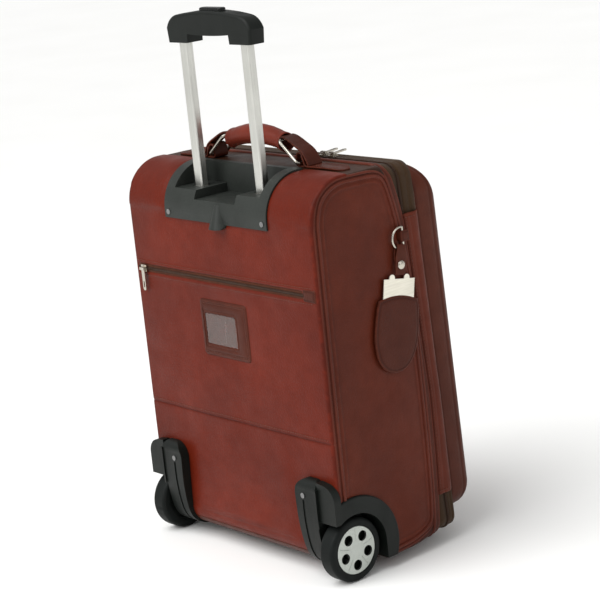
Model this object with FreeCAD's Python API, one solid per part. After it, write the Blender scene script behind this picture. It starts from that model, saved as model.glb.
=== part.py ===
import FreeCAD, Part
import math
import os

from FreeCAD import Vector

# A two-wheeled upright leather carry-on case.
# Modelled with x across the case, "depth" counted from the back face towards the front
# (depth d is y = -d) and z up from the floor. ORIGIN_SHIFT then moves everything so that
# the origin is the bottom centre of the whole case. "Left" is -X, "right" is +X.

# ---- main body ----
HALF_WIDTH = 180.0
FLOOR_GAP = 14.0
TOP_Z = 494.0
PANEL = 3.0
EDGE_R = 12.0
TOP_BACK_R = 52.0
BOTTOM_BACK_R = 30.0
SEAM_TILT = math.radians(4.5)
SEAM_DEPTH = 155.0
SEAM_REF_Z = 120.0
CLEAR = 0.3
PIPING_R = 2.5
SIDE_PIPING_INSET = 5.0
PIPING_DROP = 8.0
LINING = 1.0

# ---- zip band and lid, in the tilted frame of the front seam ----
BAND = 30.0
TAPE = 2.0
TAPE_INSET = 3.0
TAPE_CORNER_R = 21.0
LID_INSET = 10.0
LID_BOTTOM_INSET = 14.0
LID_CORNER_R = 36.0
LID_EDGE_R = 17.0
LID_DEPTH_LOW = 36.0
LID_LEAN = math.radians(2.2)
POCKET_THICK = 4.0
POCKET_HALF_WIDTH = 136.0
POCKET_BASE = 52.0
POCKET_HEIGHT = 282.0
SEAM_HEIGHT = (TOP_Z - FLOOR_GAP) / math.cos(SEAM_TILT)
TEETH = 1.0
TEETH_GAP = 0.6
TEETH_REACH = 2.4

# ---- trolley ----
TUBE_X = 60.0
TUBE_DEPTH = 30.0
INNER_TUBE = (15.0, 11.0, 1.2)
MIDDLE_TUBE = (18.4, 14.4, 1.4)
OUTER_TUBE = (22.0, 18.0, 1.5)
OUTER_TUBE_BASE = 62.0
MIDDLE_TUBE_BASE = 72.0
INNER_TUBE_BASE = 256.0
TRAY_HALF_WIDTH = 100.0
TRAY_BASE_Z = 432.5
TRAY_FRONT = 62.0
TRAY_SKIN = 2.5
TRAY_WALL = 3.0
RECESS_HALF_WIDTH = 83.5
RECESS_DEPTH = 54.0
SIDE_FLOOR_Z = 470.0
MID_FLOOR_Z = 459.0
MID_FLOOR_HALF_WIDTH = 40.0
LUG_X = -6.0
LUG_BASE_Z = 427.0
GRIP_BASE_Z = 650.0
GRIP_UNDER_Z = 661.0
GRIP_TOP_Z = 689.0
GRIP_HALF_WIDTH = 82.0
GRIP_HALF_DEPTH = 12.0
BUTTON_TRAVEL = 4.0

# ---- wheels ----
WHEEL_R = 40.0
WHEEL_DEPTH = 20.0
TYRE_WIDTH = 24.0
WHEEL_OUTER_X = 180.0
HUB_R = 30.4
WELL_R = 46.5
FENDER_R = 68.0
FENDER_OUTER_X = 184.0
HOUSING_INNER_X = 148.0
HOUSING_WALL = 3.0
LOBE_SPAN = (113.0, 153.0)
LOBE_TOP_Z = 131.0
CHEEK_TOP_Z = 126.0
CHEEK_LOW_Z = 80.0
BOSS_PROUD = 13.0
LOBE_CURVE = ((-BOSS_PROUD, 90.0), (-12.0, 70.0), (-8.5, 46.0), (0.0, 25.5), (17.0, 13.8), (36.0, 11.8))
AXLE_R = 4.0
BEARING_R = 11.0
BEARING_WIDTH = 7.0
RUNNING_GAP = 0.05

# ---- carry handle ----
HANDLE_DEPTH = 81.0
CARRY_GRIP_R = 13.0
CARRY_GRIP_HALF = 60.0
CARRY_GRIP_Z = 526.0
CARRY_ARCH = 4.0
RING_WIRE_R = 2.0
RING_HALF_DEPTH = 14.0
RING_TOP = (54.0, 526.0)
RING_FOOT = (86.0, 499.6)
CARRY_LIFT = 8.0

# ---- zip sliders: x of each at rest ----
MAIN_SLIDERS = {"outer": -66.0, "inner": -50.0}
POST_R = 1.2
EYE_GAP = 0.3

# ---- name tag: how far it stands off the left side ----
TAG_STANDOFF = 7.0
TAG_WIRE_R = 1.3
TAG_LEAN = 10.0

X_AXIS = Vector(1, 0, 0)
Y_AXIS = Vector(0, 1, 0)
Z_AXIS = Vector(0, 0, 1)
nodes = {}


# ---- basic shapes, all in (x, depth, z) ----
def point(x, depth, z):
    return Vector(x, -depth, z)


def box(x0, x1, d0, d1, z0, z1):
    return Part.makeBox(x1 - x0, d1 - d0, z1 - z0, point(x0, d1, z0))


def centred_box(x, depth, width, thick, z0, z1):
    return box(x - width / 2, x + width / 2, depth - thick / 2, depth + thick / 2, z0, z1)


def moved(shape, vector):
    placed = shape.copy()
    placed.translate(vector)
    return placed


def rod_x(x0, x1, depth, z, radius):
    return Part.makeCylinder(radius, x1 - x0, point(x0, depth, z), X_AXIS)


def rod_d(d0, d1, x, z, radius):
    return Part.makeCylinder(radius, d1 - d0, point(x, d1, z), Y_AXIS)


def rod_z(z0, z1, x, depth, radius):
    return Part.makeCylinder(radius, z1 - z0, point(x, depth, z0), Z_AXIS)


def rod_between(start, end, radius):
    along = end.sub(start)
    return Part.makeCylinder(radius, along.Length, start, along)


def fuse(shapes):
    whole = shapes[0].multiFuse(shapes[1:]) if len(shapes) > 1 else shapes[0]
    return whole.removeSplitter()


def group(shapes):
    return Part.makeCompound(shapes)


def both_sides(shape):
    return group([shape, mirrored(shape)])


def mirrored(shape):
    return shape.mirror(Vector(0, 0, 0), X_AXIS)


def rounded_wire(corners, radii):
    """A closed wire through the corners, each rounded by its own radius."""
    edges = []
    starts = []
    ends = []
    middles = []
    count = len(corners)
    for i, corner in enumerate(corners):
        before = corners[i - 1].sub(corner).normalize()
        after = corners[(i + 1) % count].sub(corner).normalize()
        half = before.getAngle(after) / 2
        radius = radii[i]
        reach = radius / math.tan(half)
        starts.append(corner + before * reach)
        ends.append(corner + after * reach)
        bisector = (before + after).normalize()
        middles.append(corner + bisector * (radius / math.sin(half) - radius))
    for i in range(count):
        if radii[i] > 0:
            edges.append(Part.Arc(starts[i], middles[i], ends[i]).toShape())
        following = starts[(i + 1) % count]
        if ends[i].distanceToPoint(following) > 1e-6:
            edges.append(Part.LineSegment(ends[i], following).toShape())
    return Part.Wire(Part.__sortEdges__(edges))


def prism(wire, along):
    return Part.Face(wire).extrude(along)


def upright_outline(half_width, z0, z1, top_r, bottom_r, depth=0.0):
    """A rounded rectangle facing the front."""
    corners = [
        point(-half_width, depth, z0),
        point(half_width, depth, z0),
        point(half_width, depth, z1),
        point(-half_width, depth, z1),
    ]
    return rounded_wire(corners, [bottom_r, bottom_r, top_r, top_r])


def upright_slab(half_width, z0, z1, top_r, bottom_r, d0, d1):
    wire = upright_outline(half_width, z0, z1, top_r, bottom_r, d0)
    return prism(wire, Vector(0, d0 - d1, 0))


def tube_along(path, radius):
    """A round bead along a closed smooth wire."""
    edge = path.OrderedEdges[0]
    start = edge.valueAt(edge.FirstParameter)
    tangent = edge.tangentAt(edge.FirstParameter)
    ring = Part.Wire(Part.makeCircle(radius, start, tangent))
    sweep = Part.BRepOffsetAPI.MakePipeShell(path)
    sweep.add(ring, False, False)
    sweep.build()
    sweep.makeSolid()
    return sweep.shape()


def box_tube(x, depth, size, z0, z1):
    """A straight rectangular tube with rounded corners, standing up."""
    width, thick, wall = size
    outer = round_bar(x, depth, width, thick, 2.5, z0, z1)
    bore = round_bar(x, depth, width - 2 * wall, thick - 2 * wall, 1.6, z0 - 1, z1 + 1)
    return outer.cut(bore)


def round_bar(x, depth, width, thick, radius, z0, z1):
    corners = [
        point(x - width / 2, depth - thick / 2, z0),
        point(x + width / 2, depth - thick / 2, z0),
        point(x + width / 2, depth + thick / 2, z0),
        point(x - width / 2, depth + thick / 2, z0),
    ]
    return prism(rounded_wire(corners, [radius] * 4), Vector(0, 0, z1 - z0))


def keep(name, shape):
    nodes[name] = shape


# ---- the tilted front seam ----
def seam_depth(z):
    return SEAM_DEPTH - math.tan(SEAM_TILT) * (z - SEAM_REF_Z)


def on_seam(shape):
    """Moves a shape made with depth counted from the seam, z from its base, onto the seam."""
    placed = shape.copy()
    placed.rotate(Vector(0, 0, 0), X_AXIS, -math.degrees(SEAM_TILT))
    placed.translate(point(0, seam_depth(FLOOR_GAP), FLOOR_GAP))
    return placed


def lid_front(height):
    """Depth of the lid's front face, counted from the seam, at a height along it."""
    return BAND + LID_DEPTH_LOW + math.tan(LID_LEAN) * height


# ---- main body ----
def side_profile(inset, reach=0.0):
    """The body from the side; the front edge is the seam, or lies reach in front of it."""
    low = FLOOR_GAP + inset
    high = TOP_Z - inset
    corners = [
        point(0, inset, low),
        point(0, inset, high),
        point(0, seam_depth(high) + reach, high),
        point(0, seam_depth(low) + reach, low),
    ]
    return rounded_wire(corners, [BOTTOM_BACK_R - inset, TOP_BACK_R - inset, 0, 0])


def body_block(inset, reach=0.0):
    half = HALF_WIDTH - inset
    from_side = prism(side_profile(inset, reach), Vector(2 * half, 0, 0))
    from_side.translate(Vector(-half, 0, 0))
    radius = EDGE_R - inset
    from_front = upright_slab(half, FLOOR_GAP + inset, TOP_Z - inset, radius, radius, -5, 200)
    return from_side.common(from_front)


def piping_path(side):
    inset = SIDE_PIPING_INSET
    low = FLOOR_GAP + PIPING_DROP
    high = TOP_Z - PIPING_DROP
    corners = [
        point(0, inset, low),
        point(0, inset, high),
        point(0, seam_depth(high) - 8, high),
        point(0, seam_depth(low) - 8, low),
    ]
    path = rounded_wire(corners, [BOTTOM_BACK_R - 8, TOP_BACK_R - 16, 20, 24])
    path.translate(Vector(side * HALF_WIDTH, 0, 0))
    return path


def wheel_cavity(side):
    """The space taken out of the body's corner by the wheel housing."""
    radius = WELL_R + HOUSING_WALL
    low, high = sorted((side * (HOUSING_INNER_X - CLEAR), side * (HALF_WIDTH + 5)))
    well = rod_x(low, high, WHEEL_DEPTH, WHEEL_R, radius + CLEAR)
    below = box(low, high, WHEEL_DEPTH - radius - 20, WHEEL_DEPTH + radius + CLEAR, 0, WHEEL_R)
    behind = box(low, high, -30, WHEEL_DEPTH, 0, WHEEL_R)
    return fuse([well, below, behind])


def make_body_panels():
    outer = body_block(0)
    inner = body_block(PANEL, reach=10)
    shell = outer.cut(inner)
    piping = [tube_along(piping_path(side), PIPING_R) for side in (-1, 1)]
    recess = box(
        -RECESS_HALF_WIDTH - TRAY_WALL - CLEAR,
        RECESS_HALF_WIDTH + TRAY_WALL + CLEAR,
        -10,
        RECESS_DEPTH + TRAY_WALL + CLEAR,
        MID_FLOOR_Z - TRAY_WALL - CLEAR,
        TOP_Z + 10,
    )
    shell = shell.cut(fuse([wheel_cavity(-1), wheel_cavity(1)])).cut(recess)
    cut_piping = [bead.cut(fuse([wheel_cavity(-1), wheel_cavity(1)])) for bead in piping]
    shell = shell.cut(group(piping))
    edge = HALF_WIDTH - PANEL
    left = box(-200, -edge, -20, 300, 0, 600)
    right = box(edge, 200, -20, 300, 0, 600)
    centre = shell.common(box(-edge, edge, -20, 300, 0, 600))
    back_zone = box(-200, 200, -20, TRAY_FRONT, FLOOR_GAP + BOTTOM_BACK_R, 600)
    top_zone = box(-200, 200, TRAY_FRONT, 300, 250, 600)
    keep("side_panel_left", shell.common(left))
    keep("side_panel_right", shell.common(right))
    keep("back_panel", centre.common(back_zone))
    keep("top_panel", centre.common(top_zone))
    keep("bottom_panel", centre.cut(back_zone).cut(top_zone))
    keep("body_piping", group(cut_piping))


def make_lining():
    gap = PANEL + CLEAR
    outer = body_block(gap, reach=-2)
    inner = body_block(gap + LINING, reach=5)
    lining = outer.cut(inner)
    for side in (-1, 1):
        lining = lining.cut(wheel_cavity(side))
    tray_room = box(-110, 110, -10, RECESS_DEPTH + 12, MID_FLOOR_Z - 12, TOP_Z + 10)
    lining = lining.cut(tray_room)
    keep("body_lining", lining)
    board = box(-150, 150, PANEL + CLEAR + LINING + CLEAR, PANEL + 4.2, 150, MID_FLOOR_Z - 20)
    keep("stiffening_board", board)


def make_band():
    half = HALF_WIDTH - TAPE_INSET
    radius = TAPE_CORNER_R

    def ring(d0, d1, inset, thick):
        outer = upright_slab(
            half - inset,
            TAPE_INSET + inset,
            SEAM_HEIGHT - TAPE_INSET - inset,
            radius - inset,
            radius - inset,
            d0,
            d1,
        )
        inner = upright_slab(
            half - inset - thick,
            TAPE_INSET + inset + thick,
            SEAM_HEIGHT - TAPE_INSET - inset - thick,
            radius - inset - thick,
            radius - inset - thick,
            d0 - 1,
            d1 + 1,
        )
        return outer.cut(inner)

    middle = BAND / 2
    body_edge = middle - TEETH_GAP
    lid_edge = middle + TEETH_GAP
    body_teeth = ring(body_edge - TEETH_REACH, body_edge, -TEETH, TEETH + 0.5)
    lid_teeth = ring(lid_edge, lid_edge + TEETH_REACH, -TEETH, TEETH + 0.5)
    keep("body_zip_tape", on_seam(fuse([ring(CLEAR, body_edge, 0, TAPE), body_teeth])))
    keep("lid_zip_tape", on_seam(fuse([ring(lid_edge, BAND, 0, TAPE), lid_teeth])))
    flap_x = HALF_WIDTH - TAPE_INSET + TEETH + CLEAR
    flap = box(-flap_x - 1.6, -flap_x, 1.0, BAND - 3.0, 58, 418)
    strip = box(flap_x, flap_x + 1.6, 1.0, middle - 3.0, 58, 418)
    keep("zip_flaps", on_seam(group([flap, strip])))


def make_lid():
    low = LID_BOTTOM_INSET
    high = SEAM_HEIGHT - LID_INSET
    half = HALF_WIDTH - LID_INSET

    def block(inset, start):
        slab = upright_slab(
            half - inset,
            low + inset,
            high - inset,
            LID_CORNER_R - inset,
            LID_CORNER_R - inset,
            start,
            140,
        )
        corners = [
            point(-200, lid_front(0) - inset, 0),
            point(-200, 160, 0),
            point(-200, 160, SEAM_HEIGHT),
            point(-200, lid_front(SEAM_HEIGHT) - inset, SEAM_HEIGHT),
        ]
        beyond = prism(rounded_wire(corners, [0] * 4), Vector(400, 0, 0))
        trimmed = slab.cut(beyond)
        front = max(trimmed.Faces, key=lambda face: -face.CenterOfMass.y)
        return trimmed.makeFillet(LID_EDGE_R - inset, front.Edges)

    shell = block(0, BAND + CLEAR).cut(block(PANEL, BAND - 5))
    split = box(-200, 200, 0, BAND + LID_DEPTH_LOW - LID_EDGE_R, 0, 600)
    keep("lid_gusset", on_seam(shell.common(split)))
    keep("lid_panel", on_seam(shell.cut(split)))
    gap = PANEL + CLEAR
    lining = block(gap, BAND + 1).cut(block(gap + LINING, BAND - 5))
    keep("lid_lining", on_seam(lining))


def lean(shape):
    """Turns a shape made on a vertical lid face onto the leaning face."""
    placed = shape.copy()
    placed.rotate(point(0, 0, 0), X_AXIS, math.degrees(LID_LEAN))
    placed.translate(point(0, BAND + LID_DEPTH_LOW, 0))
    return on_seam(placed)


def make_front_pocket():
    top = POCKET_BASE + POCKET_HEIGHT
    pad = upright_slab(POCKET_HALF_WIDTH, POCKET_BASE, top, 14, 30, CLEAR, POCKET_THICK)
    front = max(pad.Faces, key=lambda face: -face.CenterOfMass.y)
    keep("front_pocket", lean(pad.makeFillet(3, front.Edges)))
    tape_z = top + 1
    tape = box(-POCKET_HALF_WIDTH + 4, POCKET_HALF_WIDTH - 4, CLEAR, CLEAR + 1.2, tape_z, tape_z + 14)
    coil = rod_x(-POCKET_HALF_WIDTH + 8, POCKET_HALF_WIDTH - 8, CLEAR + 1.2, tape_z + 7, 1.0)
    keep("front_zip_tape", lean(fuse([tape, coil])))
    slider, pull = zip_slider_and_pull(24)
    place = Vector(-POCKET_HALF_WIDTH + 20, -CLEAR - 2.4, tape_z + 7)
    keep("front_slider", lean(moved(slider, place)))
    keep("front_pull", lean(moved(pull, place)))


def zip_slider_and_pull(length):
    """A slider on a zip that runs along x, facing the front, and the pull that hangs on its post."""
    body = centred_box(0, 1.1, 11, 2.2, -4.5, 4.5)
    body = body.makeFillet(0.9, [edge for edge in body.Edges if abs(edge.tangentAt(0).y) > 0.9])
    post = rod_d(2.0, 5.0, 0, 0, POST_R)
    cap = centred_box(0, 5.4, 9, 1.2, -1.8, 1.8)
    slider = fuse([body, post, cap])
    eye = rod_d(2.6, 4.2, 0, 0, 3.4)
    tab = centred_box(0, 3.4, 6.0, 1.6, -length, -2.5)
    end = rod_d(2.6, 4.2, 0, -length, 3.0)
    hole = rod_d(2, 5, 0, 0, POST_R + EYE_GAP)
    slot = centred_box(0, 3.4, 2.0, 4, -length + 1, -length + 9)
    return slider, fuse([eye, tab, end]).cut(hole).cut(slot)


# ---- trolley tray, tubes and grip ----
def skin_profile(outset):
    corners = [
        point(0, -outset, TRAY_BASE_Z - 100),
        point(0, -outset, TOP_Z + outset),
        point(0, 100, TOP_Z + outset),
        point(0, 100, TRAY_BASE_Z - 100),
    ]
    return rounded_wire(corners, [0, TOP_BACK_R + outset, 0, 0])


def skin_block(outset, half):
    block = prism(skin_profile(outset), Vector(2 * half, 0, 0))
    return moved(block, Vector(-half, 0, 0))


def recess_space():
    deep = box(-RECESS_HALF_WIDTH, RECESS_HALF_WIDTH, -20, RECESS_DEPTH, SIDE_FLOOR_Z, TOP_Z + 20)
    scoop = box(
        -MID_FLOOR_HALF_WIDTH, MID_FLOOR_HALF_WIDTH, -20, RECESS_DEPTH, MID_FLOOR_Z, TOP_Z + 20
    )
    return fuse([deep, scoop])


def lug():
    """The moulded nose at the foot of the tray: a half cone with a rounded outline."""
    nose = Part.makeCone(17, 6, 30, point(LUG_X, 4, LUG_BASE_Z), Z_AXIS)
    outline = rod_d(-20, 0, LUG_X, LUG_BASE_Z + 13, 17)
    return nose.common(outline).common(box(-40, 40, -20, 0, LUG_BASE_Z, LUG_BASE_Z + 30))


def make_tray():
    skin = skin_block(TRAY_SKIN, TRAY_HALF_WIDTH).cut(skin_block(CLEAR, TRAY_HALF_WIDTH + 1))
    skin = skin.common(box(-200, 200, -20, TRAY_FRONT, TRAY_BASE_Z, 600))
    tub = box(
        -RECESS_HALF_WIDTH - TRAY_WALL,
        RECESS_HALF_WIDTH + TRAY_WALL,
        -TRAY_SKIN,
        RECESS_DEPTH + TRAY_WALL,
        MID_FLOOR_Z - TRAY_WALL,
        TOP_Z + TRAY_SKIN,
    ).common(skin_block(TRAY_SKIN, TRAY_HALF_WIDTH))
    under_side_floor = box(
        MID_FLOOR_HALF_WIDTH + TRAY_WALL,
        RECESS_HALF_WIDTH + TRAY_WALL,
        TRAY_WALL + 3,
        RECESS_DEPTH + TRAY_WALL,
        MID_FLOOR_Z - TRAY_WALL,
        SIDE_FLOOR_Z - TRAY_WALL,
    )
    tub = tub.cut(both_sides(under_side_floor))
    foot = lug().cut(skin_block(CLEAR, 50))
    tray = fuse([skin, tub, foot]).cut(recess_space())
    width, thick = MIDDLE_TUBE[:2]
    hole = round_bar(TUBE_X, TUBE_DEPTH, width + 0.8, thick + 0.8, 2.9, MID_FLOOR_Z - 20, TOP_Z)
    tray = tray.cut(both_sides(hole))
    screws = []
    for x in (-92, 92):
        screws.append(back_screw(x, 440, TRAY_SKIN))
    tray = tray.cut(group(screws))
    keep("handle_tray", tray)
    return screws


def back_screw(x, z, proud):
    """A screw through a plastic part that stands proud of the back face."""
    head = rod_d(-proud - 1.0, -proud, x, z, 3.4)
    return fuse([head, rod_d(-proud, 3.0, x, z, 1.6)])


def make_tubes():
    outer = box_tube(TUBE_X, TUBE_DEPTH, OUTER_TUBE, OUTER_TUBE_BASE, SIDE_FLOOR_Z - TRAY_WALL - CLEAR)
    keep("outer_tubes", both_sides(outer))
    middle = box_tube(TUBE_X, TUBE_DEPTH, MIDDLE_TUBE, MIDDLE_TUBE_BASE, SIDE_FLOOR_Z - 0.5)
    keep("middle_tubes", both_sides(middle))
    inner = box_tube(TUBE_X, TUBE_DEPTH, INNER_TUBE, INNER_TUBE_BASE, GRIP_UNDER_Z + 4)
    pin_z = INNER_TUBE_BASE + 8
    inner = inner.cut(rod_x(TUBE_X, TUBE_X + 20, TUBE_DEPTH, pin_z, 2.6))
    keep("inner_tubes", both_sides(inner))
    pin = rod_x(TUBE_X + 2.6, TUBE_X + INNER_TUBE[0] / 2 + 0.1, TUBE_DEPTH, pin_z, 2.5)
    keep("lock_pin_right", pin)
    keep("lock_pin_left", mirrored(pin))
    base = box(-TUBE_X - 20, TUBE_X + 20, PANEL + 2.5, TUBE_DEPTH + 14, 50, OUTER_TUBE_BASE + 26)
    width, thick = OUTER_TUBE[:2]
    socket = round_bar(TUBE_X, TUBE_DEPTH, width, thick, 2.5, OUTER_TUBE_BASE, OUTER_TUBE_BASE + 40)
    waist = box(-TUBE_X + 18, TUBE_X - 18, PANEL, TUBE_DEPTH + 20, OUTER_TUBE_BASE, OUTER_TUBE_BASE + 40)
    keep("tube_base", base.cut(both_sides(socket)).cut(waist))


def grip_outline():
    """The grip from the back: an arched top, rounded shoulders and two short legs."""
    leg_in = TUBE_X - 20
    leg_out = TUBE_X + 20
    d = TUBE_DEPTH - GRIP_HALF_DEPTH
    shoulder_z = GRIP_TOP_Z - 5
    top = Part.Arc(point(-62, d, shoulder_z), point(0, d, GRIP_TOP_Z), point(62, d, shoulder_z))
    right = Part.Arc(
        point(62, d, shoulder_z), point(77, d, shoulder_z - 8), point(GRIP_HALF_WIDTH, d, 668)
    )
    left = Part.Arc(
        point(-GRIP_HALF_WIDTH, d, 668), point(-77, d, shoulder_z - 8), point(-62, d, shoulder_z)
    )
    under = Part.Arc(point(leg_in, d, 661), point(0, d, GRIP_UNDER_Z - 1.5), point(-leg_in, d, 661))
    path = [
        point(GRIP_HALF_WIDTH, d, 668),
        point(leg_out, d, GRIP_BASE_Z),
        point(leg_in + 1, d, GRIP_BASE_Z),
        point(leg_in, d, 661),
    ]
    edges = [top.toShape(), right.toShape(), left.toShape(), under.toShape()]
    for start, end in zip(path, path[1:]):
        edges.append(Part.LineSegment(start, end).toShape())
        edges.append(Part.LineSegment(flipped(start), flipped(end)).toShape())
    return Part.Wire(Part.__sortEdges__(edges))


def flipped(vector):
    return Vector(-vector.x, vector.y, vector.z)


def make_grip():
    bar = prism(grip_outline(), Vector(0, -2 * GRIP_HALF_DEPTH, 0))
    long_edges = [e for e in bar.Edges if e.BoundBox.YLength < 0.01 and e.BoundBox.ZMax > 662]
    bar = bar.makeFillet(4.0, long_edges)
    width, thick = INNER_TUBE[:2]
    socket = round_bar(TUBE_X, TUBE_DEPTH, width, thick, 2.5, GRIP_BASE_Z - 1, GRIP_UNDER_Z + 4)
    bar = bar.cut(both_sides(socket))
    hollow = box(-66, 66, TUBE_DEPTH - 6, TUBE_DEPTH + 6, 665 - CLEAR, 680)
    rod_room = rod_z(GRIP_UNDER_Z, 670, TUBE_X, TUBE_DEPTH, 3.2)
    button_hole = round_bar(0, TUBE_DEPTH, 44.8, 12.8, 6.2, 670, 700)
    bar = bar.cut(hollow).cut(both_sides(rod_room)).cut(button_hole)
    keep("trolley_grip", bar)
    cap = round_bar(0, TUBE_DEPTH, 44, 12, 5.8, 676, GRIP_TOP_Z + 3.5)
    top_edges = [e for e in cap.Edges if e.BoundBox.ZMin > GRIP_TOP_Z + 3]
    keep("release_button", cap.makeFillet(2.0, top_edges))
    yoke = box(-63, 63, TUBE_DEPTH - 4, TUBE_DEPTH + 4, 671, 676)
    rod = rod_z(INNER_TUBE_BASE + 17, 671, TUBE_X, TUBE_DEPTH, 2.0)
    keep("push_rods", fuse([yoke, rod, mirrored(rod)]))


# ---- wheels and their housings ----
def hub_shapes(name, side):
    """A wheel on the right side, mirrored for the left one."""
    inner = WHEEL_OUTER_X - TYRE_WIDTH
    outer = WHEEL_OUTER_X
    d, z = WHEEL_DEPTH, WHEEL_R
    tyre = rod_x(inner, outer, d, z, WHEEL_R)
    rims = [e for e in tyre.Edges if e.BoundBox.XLength < 0.01]
    tyre = tyre.makeFillet(5.0, rims).cut(rod_x(inner - 1, outer + 1, d, z, HUB_R))
    hub = rod_x(inner + 1.5, outer - 3.5, d, z, HUB_R)
    hub = hub.cut(rod_x(outer - 9, outer, d, z, HUB_R - 3))
    hub = hub.cut(rod_x(inner - 1, inner + 6, d, z, HUB_R - 3))
    hub = hub.fuse(rod_x(inner + 1.5, outer - 3.5, d, z, BEARING_R + 3))
    hub = hub.cut(rod_x(inner, outer, d, z, BEARING_R))
    hub = hub.fuse(rod_x(inner + 9, inner + 12, d, z, BEARING_R + 1))
    hub = hub.cut(rod_x(inner - 1, outer + 1, d, z, AXLE_R + 2.5)).removeSplitter()
    cap = rod_x(outer - 3.4, outer - 0.2, d, z, HUB_R - 0.2)
    face = [e for e in cap.Edges if e.BoundBox.XMin > outer - 0.3]
    cap = cap.makeFillet(1.2, face)
    for i in range(5):
        angle = math.radians(90 + 36 + 72 * i)
        hole_d = d + 19 * math.cos(angle)
        hole_z = z + 19 * math.sin(angle)
        cap = cap.cut(rod_x(outer - 10, outer + 1, hole_d, hole_z, 6.6))
        along = angle + math.radians(36)
        start = point(outer - 0.2, d + 12 * math.cos(along), z + 12 * math.sin(along))
        end = point(outer - 0.2, d + 27 * math.cos(along), z + 27 * math.sin(along))
        cap = cap.cut(rod_between(start, end, 0.5))
    bearings = []
    for start in (inner + 2, inner + 12.2):
        ring = rod_x(start, start + BEARING_WIDTH - 0.2, d, z, BEARING_R)
        bearings.append(ring.cut(rod_x(inner - 1, outer, d, z, AXLE_R + RUNNING_GAP)))
    shapes = {
        "tyre_" + name: tyre,
        "hub_" + name: hub,
        "hub_cap_" + name: cap,
        "bearings_" + name: group(bearings),
    }
    for node, shape in shapes.items():
        keep(node, shape if side > 0 else mirrored(shape))


def rib_curve():
    """The rib's outer edge from the side, down and in under the body."""
    curve = Part.BSplineCurve()
    curve.interpolate(
        Points=[point(0, depth, z) for depth, z in LOBE_CURVE],
        InitialTangent=Vector(0, 0, -1),
        FinalTangent=Vector(0, -1, 0),
    )
    return curve.toShape()


def rib_slice(x0, x1):
    """The rib between two positions across the case."""
    centre_z = FLOOR_GAP + BOTTOM_BACK_R
    inner_r = BOTTOM_BACK_R + CLEAR
    outer_start = point(0, *LOBE_CURVE[0])
    outer_end = point(0, *LOBE_CURVE[-1])
    toe = point(0, LOBE_CURVE[-1][0], FLOOR_GAP - CLEAR)
    inner_end = around(BOTTOM_BACK_R, centre_z, inner_r, math.radians(90))
    inner_mid = around(BOTTOM_BACK_R, centre_z, inner_r, math.radians(45))
    inner_start = point(0, -CLEAR, centre_z)
    top = point(0, -CLEAR, LOBE_TOP_Z)
    shoulder = point(0, -BOSS_PROUD, LOBE_TOP_Z - 14)
    crest = point(0, -BOSS_PROUD * 0.78, LOBE_TOP_Z - 4)
    edges = [
        rib_curve(),
        Part.LineSegment(outer_end, toe).toShape(),
        Part.LineSegment(toe, inner_end).toShape(),
        Part.Arc(inner_end, inner_mid, inner_start).toShape(),
        Part.LineSegment(inner_start, top).toShape(),
        Part.Arc(top, crest, shoulder).toShape(),
        Part.LineSegment(shoulder, outer_start).toShape(),
    ]
    side_view = prism(Part.Wire(Part.__sortEdges__(edges)), Vector(x1 - x0, 0, 0))
    return moved(side_view, Vector(x0, 0, 0))


def lobe():
    """The rounded rib on the back, with a groove down its middle."""
    first, last = LOBE_SPAN
    corners = [
        point(first + 6, -30, 0),
        point(last, -30, 0),
        point(last, -30, LOBE_TOP_Z),
        point(first, -30, LOBE_TOP_Z),
    ]
    outline = prism(rounded_wire(corners, [0, 0, 8, 20]), Vector(0, -80, 0))
    strip = rib_slice(127, 131)
    groove = strip.cut(moved(strip, Vector(0, -1.2, 0))).common(box(120, 140, -40, 40, 20, 104))
    return rib_slice(first, last).common(outline).cut(groove)


def behind_rib():
    """Everything outside the rib's curve, behind and below it."""
    start = point(0, *LOBE_CURVE[0])
    end = point(0, *LOBE_CURVE[-1])
    far_high = point(0, -60, LOBE_CURVE[0][1])
    far_low = point(0, -60, -20)
    low = point(0, LOBE_CURVE[-1][0], -20)
    edges = [rib_curve()]
    for a, b in ((end, low), (low, far_low), (far_low, far_high), (far_high, start)):
        edges.append(Part.LineSegment(a, b).toShape())
    return moved(prism(Part.Wire(Part.__sortEdges__(edges)), Vector(100, 0, 0)), Vector(100, 0, 0))


def around(depth, z, radius, turn):
    """A point on a circle about (depth, z), turned down from the rearmost point."""
    return point(0, depth - radius * math.cos(turn), z - radius * math.sin(turn))


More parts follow.
